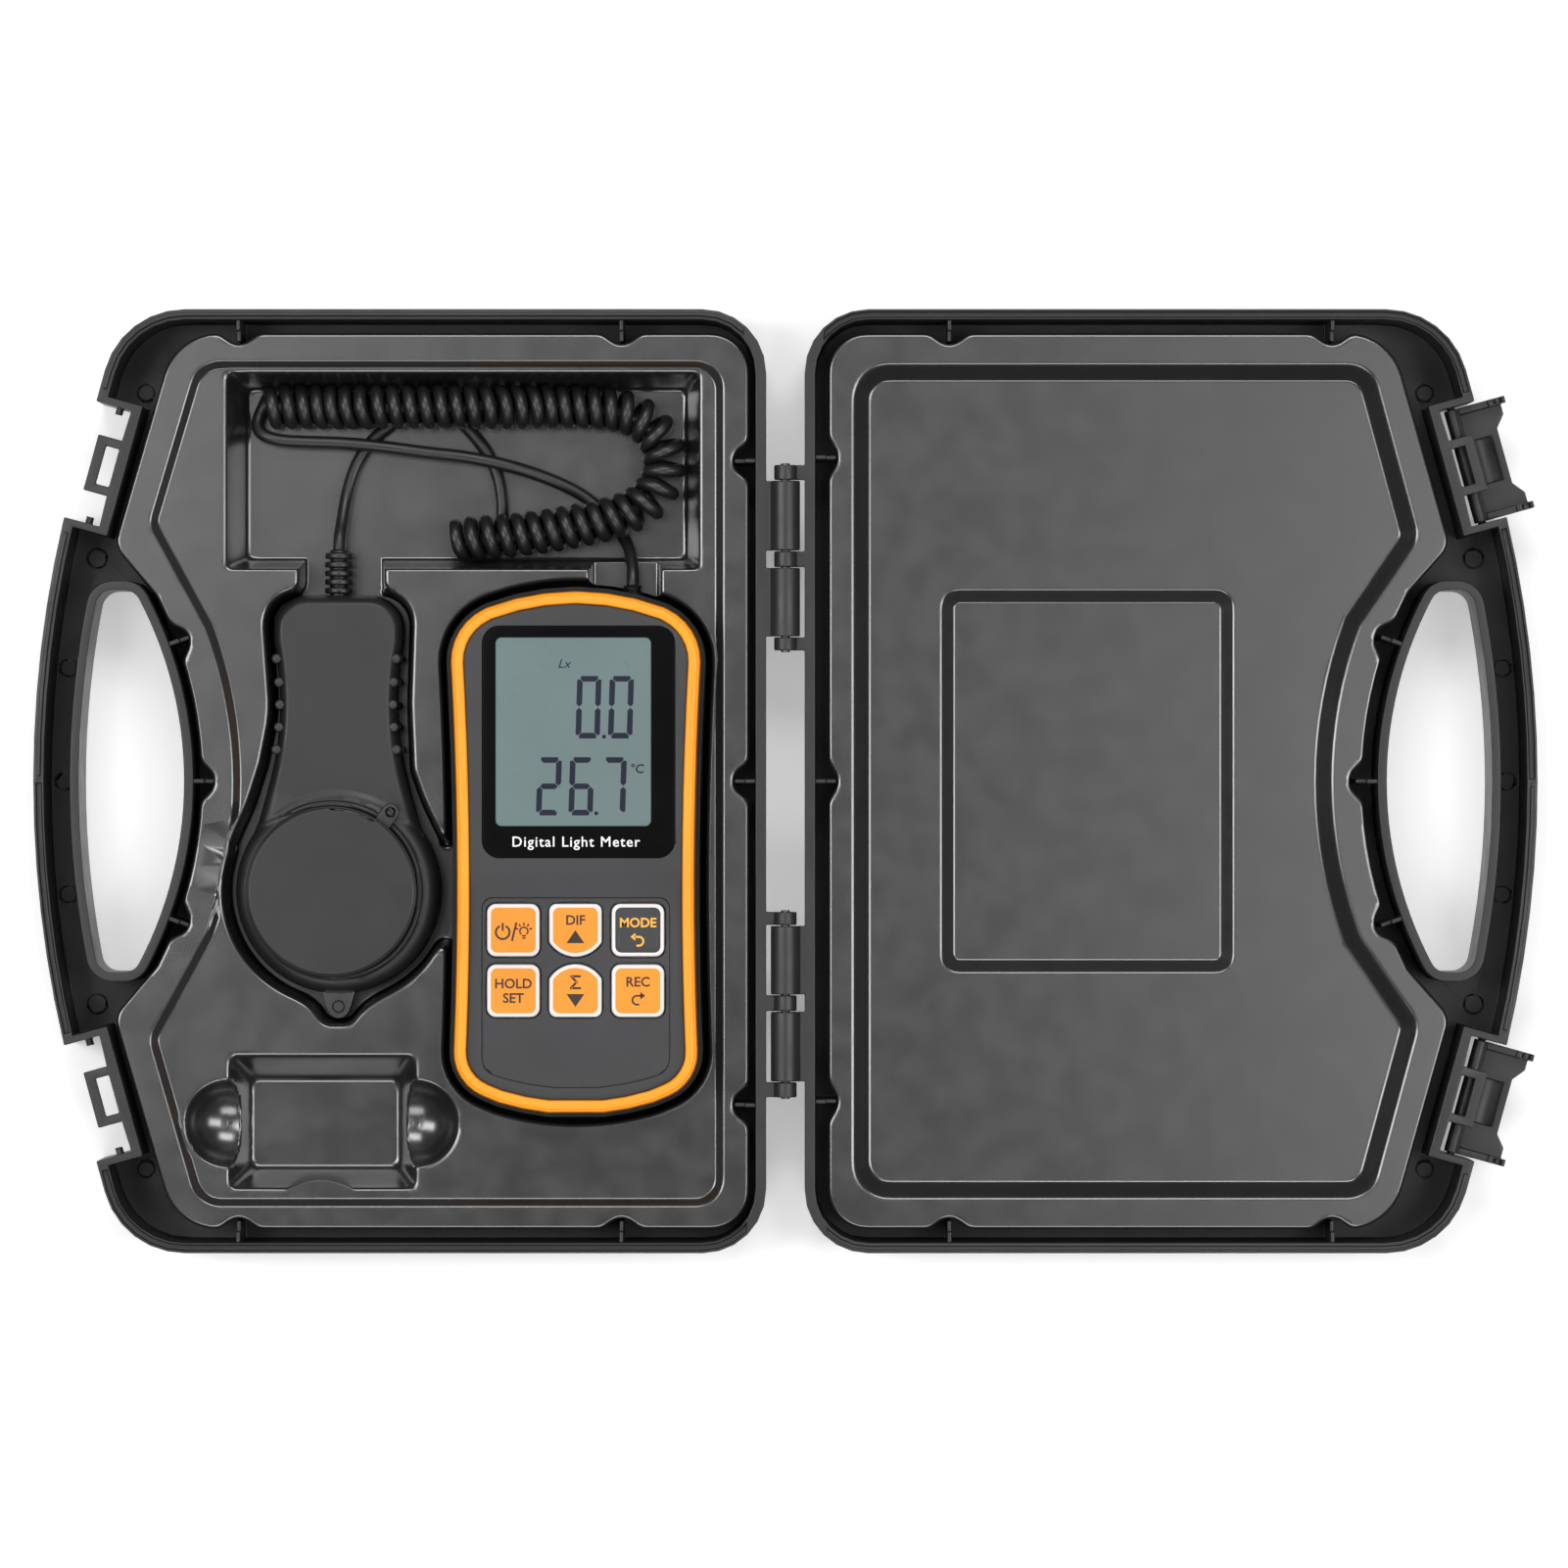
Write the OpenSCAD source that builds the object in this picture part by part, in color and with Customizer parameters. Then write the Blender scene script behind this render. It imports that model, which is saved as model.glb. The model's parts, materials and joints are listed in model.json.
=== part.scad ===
// Split light meter in its fitted carry case, shown opened flat.
// The case hinge lies along Y at x = 0; the base half is at x < 0, the lid at x > 0.
// z = 0 is the surface that both halves lie on. All sizes are in millimetres.

/* [Case] */
// Width of the case along its hinge
case_w = 268; // [264:1:272]
// Height of one half, from the ground to the rim
half_h = 30; // [29:0.5:32]
// Thickness of the rim wall
rim_t = 3; // [2.6:0.1:3.2]
// Thickness of the case floor
floor_t = 2.2; // [1.8:0.1:2.2]
// Distance from the hinge line to each rear wall
rear_gap = 5.5; // [5.2:0.1:5.8]
// Radius of the handle's outer bow
handle_r = 326; // [310:1:345]

/* [Hinges] */
// Radius of the long hinge barrels
barrel_r = 4.15; // [3.8:0.05:4.3]
// Radius of the short hinge knuckles
knuckle_r = 3.2; // [2.8:0.1:3.6]
// Radius of the hinge pins
hinge_pin_r = 1.25; // [1:0.05:1.5]

/* [Latches] */
// Radius of the pins that the latches turn on and snap over
catch_pin_r = 1.1; // [0.9:0.05:1.2]
// Depth of the pin line below the rim
catch_drop = 6.75; // [6.5:0.05:7]
// Width of a latch along its pins
latch_w = 33; // [32.4:0.1:33.4]

/* [Trays] */
// Thickness of the formed tray sheet
sheet_t = 1.2; // [0.8:0.1:1.2]
// Height of the trays' flange
flange_z = 26; // [25:0.5:27]
// Height of the base tray's plateau
plateau_z = 24; // [23:0.5:24.5]
// Height of the lid tray's recess
recess_z = 20; // [18:0.5:20]

/* [Meter] */
// Height of the meter
meter_h = 32.8; // [31:0.1:33]
// Width of the orange band on the face
band_w = 3.7; // [3:0.1:4.2]
// Side of a square key
key_w = 15; // [14:0.1:15.2]
// Travel of a key
key_travel = 0.8; // [0.5:0.1:0.9]

/* [Sensor head] */
// Radius of the sensor disc
disc_r = 29.3; // [28.5:0.1:29.6]
// Height of the sensor housing
sensor_h = 19; // [18:0.5:20]
// Radius of the protective cap
cap_r = 24; // [23.4:0.1:24.4]

/* [Cord] */
// Diameter of the wire
wire_d = 3.7; // [3.2:0.1:3.8]
// Outer diameter of the curled stretch
coil_d = 13; // [12:0.2:13]

/* [Hidden] */

$fn = 64;
eps = 0.01;
corner_steps = 6;
black = [0.10, 0.10, 0.10];
charcoal = [0.25, 0.25, 0.26];
orange = [1.0, 0.62, 0.05];
steel = [0.72, 0.72, 0.74];
board_green = [0.10, 0.32, 0.18];

// ---- Outlines ----

function unit(v) = v / norm(v);

// Points of a fillet of radius r at p, between neighbours a and b
function fillet(a, p, b, r, n) =
    let (u = unit(a - p), v = unit(b - p),
         half = acos(max(-1, min(1, u * v))) / 2,
         c = p + unit(u + v) * r / sin(half),
         s = p + u * r / tan(half) - c,
         e = p + v * r / tan(half) - c,
         a0 = atan2(s[1], s[0]),
         turn = (atan2(e[1], e[0]) - a0 + 540) % 360 - 180)
    [for (i = [0 : n]) c + r * [cos(a0 + turn * i / n), sin(a0 + turn * i / n)]];

function flat(p) = [p[0], p[1]];
function radius_of(p) = len(p) > 2 ? p[2] : 0;

// A closed outline whose corners [x, y, radius] are rounded
function rounded(pts, n = corner_steps) =
    let (count = len(pts))
    [for (i = [0 : count - 1])
        let (p = pts[i], r = radius_of(p))
        each r == 0 ? [flat(p)]
            : fillet(flat(pts[(i + count - 1) % count]), flat(p), flat(pts[(i + 1) % count]), r, n)];

// The list followed by its mirror image in X, in reverse order
function left_and_right(pts) =
    concat(pts, [for (i = [len(pts) - 1 : -1 : 0]) [-pts[i][0], pts[i][1], radius_of(pts[i])]]);

// Arc about [cx, 0] from angle a to angle b
function arc(cx, r, a, b, n) =
    [for (i = [0 : n]) let (t = a + (b - a) * i / n) [cx + r * cos(t), r * sin(t)]];

module plate(z0, z1) translate([0, 0, z0]) linear_extrude(z1 - z0) children();

module block(x0, y0, z0, x1, y1, z1) translate([x0, y0, z0]) cube([x1 - x0, y1 - y0, z1 - z0]);

module soft_rect(w, h, r) offset(r = r) square([w - 2 * r, h - 2 * r], center = true);

// ---- Case shells: one moulding, used for both halves ----

tilt = 15.4;                    // slant of the front sides from the hinge's direction
front_x = -188.4;               // where the slanted side would meet the long side
handle_end_y = 74.4;            // where the slanted side runs into the handle's bow
handle_x = -213.5;              // outermost point of the handle
grip_x = -281.7;                // centre line point of the arcs on the handle's inner side
hole_outer_x = -200.6;
hole_outer_r = 265;
hole_inner_r = 111;
hole_half = 54.3;
hole_corner = 5;
hole_wall = 2.6;
notch_at = [-190.2, 88.7];        // middle of a latch notch, on its inner wall
notch_half = 17.05;
notch_depth = 10.3;
notch_wall = 2.8;
notch_side = 2.1;
catch_out = 3.6;                // distance of the pin line from the notch's inner wall
catch_z = half_h - catch_drop;
tongue = [1, 1.4];              // width and height of the rim's tongue
tongue_gap = 0.25;
rib_t = 1.2;
rib_out = 3;
ledge_out = 6;

side_points = [[-rear_gap, case_w / 2, 18], [front_x, case_w / 2, 23.5]];
handle_turn = asin(handle_end_y / handle_r);
case_points = concat(side_points,
    arc(handle_x + handle_r, handle_r, 180 - handle_turn, 180 + handle_turn, 12),
    [[front_x, -case_w / 2, 23.5], [-rear_gap, -case_w / 2, 18]]);

module case_outline() polygon(rounded(case_points));

module handle_hole() {
    offset(r = hole_corner) offset(delta = -hole_corner) intersection() {
        translate([hole_outer_x + hole_outer_r, 0]) circle(hole_outer_r, $fn = 240);
        translate([grip_x, 0]) circle(hole_inner_r, $fn = 180);
        translate([hole_outer_x - 1, -hole_half]) square([60, 2 * hole_half]);
    }
}

// Children are placed in each latch notch: x along the wall, y outward, for the upper and lower side
module at_notch(side) {
    mirror([0, side > 0 ? 0 : 1, 0]) translate([notch_at[0], notch_at[1], 0])
        rotate(90 - tilt) children();
}

module notch_plan(grow_side, grow_in) {
    for (side = [-1, 1]) at_notch(side)
        translate([-notch_half - grow_side, -grow_in])
            square([2 * (notch_half + grow_side), notch_depth + 20]);
}

module shell_plan() {
    difference() {
        case_outline();
        handle_hole();
        notch_plan(0, 0);
    }
}

module shell_cavity() {
    difference() {
        offset(delta = -rim_t) case_outline();
        offset(delta = hole_wall) handle_hole();
        notch_plan(notch_side, notch_wall);
    }
}

// The line on the rim that carries the tongue at y > 0 and the groove at y < 0
module rim_line(side, spread) {
    from = 1.5 - 4 * spread;
    mirror([0, side > 0 ? 0 : 1, 0]) intersection() {
        difference() {
            offset(delta = -1 + spread) case_outline();
            offset(delta = -1 - tongue[0] - spread) case_outline();
            notch_plan(notch_side + 2 - 4 * spread, notch_wall);
        }
        translate([-230, from]) square([218 + 4 * spread, 150]);
    }
}

// A rib that stands on the wall and carries the tray's flange on its ledge
module tray_rib(at, turn) {
    translate([at[0], at[1], 0]) rotate(turn) {
        block(-1, -rib_t / 2, floor_t - eps, rib_out, rib_t / 2, half_h - 1);
        block(-1, -rib_t / 2, floor_t - eps, ledge_out, rib_t / 2, flange_z - sheet_t);
    }
}

rib_x = [-155.4, -46.6];
rear_rib_y = [91, 0, -92];
grip_rib_y = 39;
grip_wall_r = hole_inner_r + hole_wall;
grip_rib_turns = [for (side = [-1 : 1]) side * asin(grip_rib_y / grip_wall_r)];

module tray_ribs() {
    for (x = rib_x) {
        tray_rib([x, case_w / 2 - rim_t], -90);
        tray_rib([x, rim_t - case_w / 2], 90);
    }
    for (y = rear_rib_y) tray_rib([-rear_gap - rim_t, y], 180);
    for (turn = grip_rib_turns)
        tray_rib([grip_x + grip_wall_r * cos(turn), grip_wall_r * sin(turn)], turn);
}

bracket = [16.3, 7.2, 3];       // width, reach and thickness of the catch bracket
bracket_hole = [11.1, 0.4, 4.3];

// Pins and bracket of one latch notch
module catch_points(side) {
    at_notch(side) {
        for (end = [-1, 1]) translate([end * (notch_half + 1), catch_out, catch_z])
            rotate([0, -90 * end, 0]) cylinder(r = catch_pin_r, h = 3);
        difference() {
            block(-bracket[0] / 2, -1, half_h - bracket[2], bracket[0] / 2, bracket[1], half_h);
            block(-bracket_hole[0] / 2, bracket_hole[1], half_h - bracket[2] - 1,
                bracket_hole[0] / 2, bracket_hole[2], half_h + 1);
        }
    }
}

long_barrels = [[41.1, 60.5], [65.5, 85.2]];
short_knuckles = [[37.1, 40.8], [60.8, 65.2], [85.5, 89.7]];

module barrel(span, r, side) {
    y0 = side > 0 ? span[0] : -span[1];
    translate([0, y0, half_h]) rotate([-90, 0, 0]) cylinder(r = r, h = span[1] - span[0]);
    block(-rear_gap - 1, y0, half_h - r, 0, y0 + span[1] - span[0], half_h);
}

mark_spots = [[-197.2, 63.8, 2.8], [-205.4, 32.4, 2.5], [-206.6, 0.1, 2.5], [-183.2, 111.2, 2.4]];
mark_h = 0.6;

module shell_half() {
    difference() {
        union() {
            difference() {
                plate(0, half_h) shell_plan();
                plate(floor_t, half_h + 1) shell_cavity();
            }
            plate(half_h - eps, half_h + tongue[1]) rim_line(1, 0);
            tray_ribs();
            for (side = [-1, 1]) catch_points(side);
            for (span = long_barrels) barrel(span, barrel_r, 1);
            for (span = short_knuckles) barrel(span, knuckle_r, -1);
            for (m = mark_spots, side = [-1, 1])
                translate([m[0], side * m[1], floor_t - eps]) cylinder(r = m[2], h = mark_h);
        }
        plate(half_h - tongue[1] - tongue_gap, half_h + 1) rim_line(-1, tongue_gap);
        translate([0, -100, half_h]) rotate([-90, 0, 0]) cylinder(r = hinge_pin_r + 0.05, h = 200);
    }
}

module base_shell() color(black) shell_half();

module lid_shell() color(black) rotate(180) shell_half();

module hinge_pin(side) {
    y0 = side > 0 ? 36.6 : -90.2;
    color(steel) translate([0, y0, half_h]) rotate([-90, 0, 0]) cylinder(r = hinge_pin_r, h = 53.6);
}

// ---- Latches, hung on the lid's pins and open ----

latch_back = 4;                 // from the pin line to the inner face of the latch plate
latch_t = 2.6;
latch_root = 1.6;               // how far the plate starts behind the pin line
latch_barrel_r = 2.1;
latch_reach = 11.7;
clip_reach = 2 * catch_drop;    // from one pin line to the other when closed
cheek_t = 2;
ear = [5, 8.4, 14.5];           // ear width at its tip and root, and its reach
bore_depth = 1.7;
clip_r = 2.2;
thumb_r = 5;                    // trough behind the thumb grip
thumb_at = 6.6;
thumb_depth = 1.2;
thumb_w = 13;

// Local frame: x along the pins, y outward from the pin line, z up; z = 0 on the pins
module latch_body() {
    cheek = latch_w / 2 - cheek_t;
    difference() {
        union() {
            rotate([0, 90, 0]) cylinder(r = latch_barrel_r, h = latch_w, center = true);
            plate(-latch_back - latch_t, -latch_back) polygon(rounded(left_and_right(
                [[latch_w / 2, -latch_root], [latch_w / 2, ear[2]], [latch_w / 2 - ear[0], ear[2]],
                    [latch_w / 2 - ear[1], latch_reach]])));
            block(-latch_w / 2, -latch_root, -latch_back, latch_w / 2, 0, -1);
            for (end = [-1, 1]) {
                x0 = end > 0 ? cheek : -latch_w / 2;
                block(x0, 0, -latch_back - eps, x0 + cheek_t, latch_reach, -0.6);
                block(x0, latch_reach - 1, -latch_back - eps, x0 + cheek_t, clip_reach + clip_r, 0.4);
            }
        }
        translate([0, thumb_at, -latch_back + thumb_r - thumb_depth]) rotate([0, 90, 0])
            cylinder(r = thumb_r, h = thumb_w, center = true);
        for (end = [-1, 1]) {
            translate([end * (latch_w / 2 - bore_depth), 0, 0]) rotate([0, 90 * end, 0])
                cylinder(r = catch_pin_r + 0.05, h = 3);
            translate([end * (latch_w / 2 - bore_depth), clip_reach, 0]) rotate([0, 90 * end, 0])
                cylinder(r = catch_pin_r + 0.1, h = 3);
            x0 = end > 0 ? latch_w / 2 - bore_depth : -latch_w / 2 - 1;
            block(x0, clip_reach - catch_pin_r - 0.1, 0,
                x0 + bore_depth + 1, clip_reach + catch_pin_r + 0.1, 3);
        }
    }
}

module latch(side) {
    color(black) rotate(180) at_notch(side) translate([0, catch_out, catch_z]) latch_body();
}

// ---- Trays ----

lip_r = 124.6;
lid_lip_r = 126.5;
lip_turn = 20.5;
flange_r = 115.5;               // arc beside the handle hole
lid_flange_r = 117.5;
flange_turn = 27;

// Corners, an arc on the handle's side, and the corners mirrored to y < 0
function tray_line(corners, r, turn, n) =
    concat(corners, arc(grip_x, r, turn, -turn, n),
        [for (i = [len(corners) - 1 : -1 : 0]) [corners[i][0], -corners[i][1], corners[i][2]]]);

base_lip = concat([[-17.6, 119.5, 8], [-167.2, 119.5, 9], [-181, 73, 7]],
    arc(grip_x, lip_r, lip_turn, -lip_turn, 12), [[-181, -73, 7], [-167.2, -120.9, 9], [-17.6, -120.9, 8]]);
lid_lip = tray_line([[-19.5, 118.4, 10], [-166.6, 118.4, 9], [-180, 69, 8]], lid_lip_r, lip_turn, 12);
base_flange = tray_line([[-10.3, 127.3, 11], [-173.3, 127.3, 16], [-190.9, 66.8, 7]],
    flange_r, flange_turn, 14);
lid_flange = tray_line([[-12.2, 127.3, 11], [-172, 127.3, 16], [-189, 66.8, 7]],
    lid_flange_r, flange_turn, 14);
tray_notch_r = 4;

module flange_plan(line, r) {
    difference() {
        polygon(rounded(line));
        for (x = rib_x, side = [-1, 1]) translate([x, side * (case_w / 2 - rim_t - 2.5)])
            circle(tray_notch_r, $fn = 24);
        for (y = rear_rib_y) translate([-rear_gap - rim_t - 2, y]) circle(tray_notch_r, $fn = 24);
        for (turn = grip_rib_turns) translate([grip_x + (r - 0.5) * cos(turn), (r - 0.5) * sin(turn)])
            circle(tray_notch_r, $fn = 24);
    }
}

pocket_z = floor_t + sheet_t;   // floor of the deep pockets
// Boxes [x0, y0, x1, y1] of the sloped pockets, at their lips and at their floors
cord_lip = [-158.9, 60.4, -24.5, 116.2];
cord_floor = [-154.2, 63.4, -28.3, 112.4];
cell_lip = [-158.2, -115.8, -105.2, -78.2];
cell_floor = [-153.1, -110.7, -110.3, -85.1];
cell_bulge = [-132.3, -129.8, 16.4];   // centre and radius of the bulge in the cell pocket's lip
scoop_r = 12;
scoop_x = [-158.5, -105.3];
scoop_y = -97.4;

module slab(z) translate([0, 0, z]) linear_extrude(eps) children();

module box_plan(box, grow, r) {
    translate([(box[0] + box[2]) / 2, (box[1] + box[3]) / 2])
        soft_rect(box[2] - box[0] + 2 * grow, box[3] - box[1] + 2 * grow, r, $fn = 32);
}

module sloped_pocket(lip, bottom, r, grow, drop) {
    hull() {
        slab(plateau_z + (grow > 0 ? -eps : 1)) box_plan(lip, grow, r);
        slab(pocket_z - drop) box_plan(bottom, grow, r);
    }
}

module cell_pocket(grow, drop) {
    difference() {
        sloped_pocket(cell_lip, cell_floor, 4, grow, drop);
        plate(0, half_h) translate([cell_bulge[0], cell_bulge[1]]) circle(cell_bulge[2] - grow, $fn = 96);
    }
    for (x = scoop_x) translate([x, scoop_y, plateau_z]) sphere(r = scoop_r + grow);
}

meter_at = [-59.4, -20.3];
sensor_at = [-127.5, -31.3];

meter_room = 3.1;               // gap round the meter and round the sensor disc
disc_room = 3.3;

module meter_pocket_plan() translate(meter_at) offset(r = meter_room) meter_outline();

neck_pocket = [[-138.5, 66], [-138.5, 54.5, 3], [-149, 53, 10], [-146.6, 20, 40], [-149.5, 5, 20],
    [-156.8, -18], [-128, -31], [-98.6, -17], [-105.8, 3, 10], [-106.6, 22, 40], [-105.6, 53, 10],
    [-114, 54.5, 3], [-114, 66]];
tab_pocket = [[-140, -54], [-131.8, -69.4, 5], [-123.6, -69.4, 5], [-113, -54]];

module sensor_pocket_plan() {
    polygon(rounded(neck_pocket));
    translate(sensor_at) circle(disc_r + disc_room);
    polygon(rounded(tab_pocket));
    translate([-100, -32]) square([10, 28], center = true);
}

channel = [-55.9, 48, -35.3, 66];
channel_z = 8.8;

module pocket_bodies(grow, drop) {
    sloped_pocket(cord_lip, cord_floor, 3, grow, drop);
    cell_pocket(grow, drop);
    top = grow > 0 ? plateau_z - eps : plateau_z + 3;
    plate(pocket_z - drop, top) offset(delta = grow) {
        meter_pocket_plan();
        sensor_pocket_plan();
    }
    block(channel[0] - grow, channel[1], channel_z - drop, channel[2] + grow, channel[3], top);
}

module base_tray() {
    color(charcoal) difference() {
        union() {
            plate(flange_z - sheet_t, flange_z) flange_plan(base_flange, flange_r);
            plate(plateau_z - sheet_t, flange_z) offset(delta = sheet_t) polygon(rounded(base_lip));
            intersection() {
                pocket_bodies(sheet_t, sheet_t);
                plate(pocket_z - sheet_t, plateau_z) polygon(rounded(base_lip));
            }
        }
        plate(plateau_z, flange_z + 1) polygon(rounded(base_lip));
        pocket_bodies(0, 0);
    }
}

small_recess = [44.4, 127.6, 109];     // from x, to x, and length along Y
small_depth = 3;

module lid_tray() {
    cx = -(small_recess[0] + small_recess[1]) / 2;
    w = small_recess[1] - small_recess[0];
    color(charcoal) rotate(180) difference() {
        union() {
            plate(flange_z - sheet_t, flange_z) flange_plan(lid_flange, lid_flange_r);
            plate(recess_z - sheet_t, flange_z) offset(delta = sheet_t) polygon(rounded(lid_lip));
            plate(recess_z - small_depth - sheet_t, recess_z) translate([cx, 0])
                soft_rect(w + 2 * sheet_t, small_recess[2] + 2 * sheet_t, 5, $fn = 32);
        }
        plate(recess_z, flange_z + 1) polygon(rounded(lid_lip));
        plate(recess_z - small_depth, flange_z + 1) translate([cx, 0])
            soft_rect(w, small_recess[2], 5, $fn = 32);
    }
}

// ---- Meter ----

meter_z = pocket_z + 0.2;
parting_z = meter_z + 15.4;
shoulder_z = meter_z + 27;      // seat of the orange band
meter_top = meter_z + meter_h;
face_z = meter_top - 1.2;       // display area
low_face_z = face_z - 1;        // key area's surround
panel_z = face_z - 1.8;         // key panel
face_t = 2;
wall_t = 2.2;
body_grow = 1.2;                // how far the housing stands out past the band
back_t = 2.6;
top_arc_r = 71;
bottom_arc_r = 75;
top_rel = 74.3;
bottom_rel = -74.2;

function top_y(x) = top_rel - top_arc_r + sqrt(top_arc_r * top_arc_r - x * x);
function bottom_y(x) = bottom_rel + bottom_arc_r - sqrt(bottom_arc_r * bottom_arc_r - x * x);

// Half-width of the waisted side at height y
waist = [33.8, -9.7, 1 / 2300];
function side_x(y) = waist[0] + (y - waist[1]) * (y - waist[1]) * waist[2];

side_line = [for (y = [-54 : 12 : 54]) [side_x(y), y]];
meter_points = left_and_right(concat(
    [for (x = [8 : 7 : 22]) [x, bottom_y(x)]],
    [[35.2, bottom_y(35.2), 13.5]], side_line, [[35.7, top_y(35.7), 16.5]],
    [for (x = [25 : -8 : 1]) [x, top_y(x)]]));

module meter_outline() polygon(rounded(meter_points));

boss_at = [[-29.6, 58], [29.6, 58], [-29.6, -57], [29.6, -57]];
post_at = [[-28.6, 20], [28.6, 20], [-28.4, -28], [28.4, -28]];
cells_y = [-60.2, -15.7];
cell_r = 5.25;
cell_z = meter_z + 8.4;
bay = [17.6, -62.5, -13.5];     // half-width and ends of the battery bay
bay_wall = 1.2;
door_plan = [19, -62.2, -12.2]; // half-width and ends of the door
door_slide = 4;
gland_x = -43.6;
gland_z = 14;
gland_r = 2.6;

module at_meter() translate([meter_at[0], meter_at[1], 0]) children();

module rear_cover() {
    color(black) difference() {
        union() {
            at_meter() difference() {
                union() {
                    plate(meter_z, meter_z + 2) offset(delta = -0.6) meter_outline();
                    plate(meter_z + 2, parting_z) offset(delta = body_grow) meter_outline();
                }
                plate(meter_z + back_t, parting_z + 1) offset(delta = body_grow - wall_t) meter_outline();
            }
            at_meter() {
                difference() {
                    block(-bay[0] - bay_wall, bay[1] - bay_wall, meter_z + 1,
                        bay[0] + bay_wall, bay[2] + bay_wall, cell_z + cell_r);
                    block(-bay[0], bay[1], meter_z, bay[0], bay[2], cell_z + cell_r + 1);
                }
                for (p = boss_at) translate([p[0], p[1], meter_z + 1])
                    cylinder(r = 4, h = parting_z - meter_z - 1);
            }
        }
        at_meter() {
            block(-bay[0] + 0.8, bay[1] + 0.8, meter_z - 1, bay[0] - 0.8, bay[2] - 0.8, meter_z + back_t + 1);
            block(-door_plan[0] - 0.2, door_plan[1] - door_slide - 0.4, meter_z - 1,
                door_plan[0] + 0.2, door_plan[2] + 0.2, meter_z + 1.6);
            for (p = boss_at) translate([p[0], p[1], meter_z - 1]) {
                cylinder(r = 2.9, h = 9.4);
                cylinder(r = 1.6, h = parting_z);
            }
        }
        translate([gland_x, 40, gland_z]) rotate([-90, 0, 0]) cylinder(r = gland_r, h = 30);
    }
}

key_columns = [-17.7, -0.1, 17.6];
key_rows = [-21.9, -39.1];
key_gap = 0.3;
panel_points = left_and_right(concat([for (x = [6 : 7 : 20]) [x, bottom_y(x) + 7.4]],
    [[26.6, bottom_y(26.6) + 7.4, 5], [26.6, -12.7, 3]]));
window_size = [54.6, 65.7, 5];
window_at = [0.8, 31.4];
window_t = 1.4;
lcd_at = [-0.6, 34.3];

// Outline of one key: square, or with one end fully rounded
module key_plan(shape, grow) {
    offset(delta = grow) intersection() {
        soft_rect(key_w, key_w, 2.5, $fn = 24);
        if (shape != 0) translate([0, -shape * 1.2]) circle(8.8, $fn = 48);
        if (shape == 0) square(key_w, center = true);
    }
}

// One entry a key: column, row and shape (0 square, -1 round below, 1 round above)
keys = [[0, 0, 0], [1, 0, -1], [2, 0, 0], [0, 1, 0], [1, 1, 1], [2, 1, 0]];

module at_key(i) translate([key_columns[keys[i][0]], key_rows[keys[i][1]], 0]) children();

module front_cover() {
    color(charcoal) difference() {
        union() {
            at_meter() {
                plate(parting_z, shoulder_z) offset(delta = body_grow) meter_outline();
                plate(shoulder_z - eps, face_z) offset(delta = -band_w) meter_outline();
            }
        }
        at_meter() {
            difference() {
                plate(parting_z - 1, shoulder_z - face_t) offset(delta = body_grow - wall_t) meter_outline();
                for (p = boss_at) translate([p[0], p[1], 0]) cylinder(r = 3.2, h = 60);
                for (p = post_at) translate([p[0], p[1], board_top]) cylinder(r = 2.2, h = 60);
            }
            difference() {
                plate(shoulder_z - face_t - 1, face_z - face_t) offset(delta = -band_w - 1.9) meter_outline();
                for (p = boss_at) translate([p[0], p[1], 0]) cylinder(r = 3.2, h = 60);
                for (p = post_at) translate([p[0], p[1], 0]) cylinder(r = 2.2, h = 60);
                block(-40, -90, panel_z - face_t, 40, -9, face_z);
            }
            step_down();
            plate(panel_z, face_z + 1) polygon(rounded(panel_points));
            for (i = [0 : 5]) at_key(i) plate(panel_z - 10, face_z) key_plan(keys[i][2], key_gap);
            plate(face_z - window_t, face_z + 1) translate(window_at)
                soft_rect(window_size[0], window_size[1], window_size[2]);
            plate(face_z - face_t - 1, face_z) translate(lcd_at)
                soft_rect(lcd_opening[0], lcd_opening[1], lcd_opening[2], $fn = 24);
            for (p = boss_at) translate([p[0], p[1], parting_z - 1]) cylinder(r = 1.45, h = 11);
            for (p = post_at) translate([p[0], p[1], board_top - 1]) cylinder(r = 0.85, h = 5);
        }
    }
}

// The face drops from the display area to the key area over this slope
step_y = [-5.6, -11.2];

module step_down() {
    translate([-50, 0, 0]) rotate([90, 0, 90]) linear_extrude(100)
        polygon([[step_y[0], face_z + 1], [step_y[0], face_z], [step_y[1], low_face_z],
            [-90, low_face_z], [-90, face_z + 1]]);
}

module bumper_band() {
    color(orange) at_meter() difference() {
        union() {
            plate(shoulder_z, meter_top - 1) meter_outline();
            plate(meter_top - 1 - eps, meter_top) offset(delta = -0.8) meter_outline();
        }
        plate(shoulder_z - 1, meter_top + 1) offset(delta = -band_w) meter_outline();
    }
}

module display_window() {
    color([0.05, 0.05, 0.06]) at_meter() plate(face_z - window_t, face_z + 0.1)
        translate(window_at) soft_rect(window_size[0] - 0.3, window_size[1] - 0.3, window_size[2] - 0.15);
}

board_top = meter_z + 23;
board_t = 1.6;
lcd_size = [46, 55.4];
lcd_t = 2.6;
backlight_size = [44, 49];
lcd_opening = [44.4, 53.8, 1];  // opening in the cover over the display, and its corner radius
lcd_frame_t = [1.2, 1.2];       // wall of the display frame at its sides and ends
zebra = [22, 1.1, 26.4];        // half-length, half-width and distance of the contact strips

module at_lcd() at_meter() translate([lcd_at[0], lcd_at[1], 0]) children();

module lcd_panel() {
    color([0.55, 0.62, 0.60]) at_lcd() plate(face_z - face_t - lcd_t, face_z - face_t)
        square(lcd_size, center = true);
}

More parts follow.
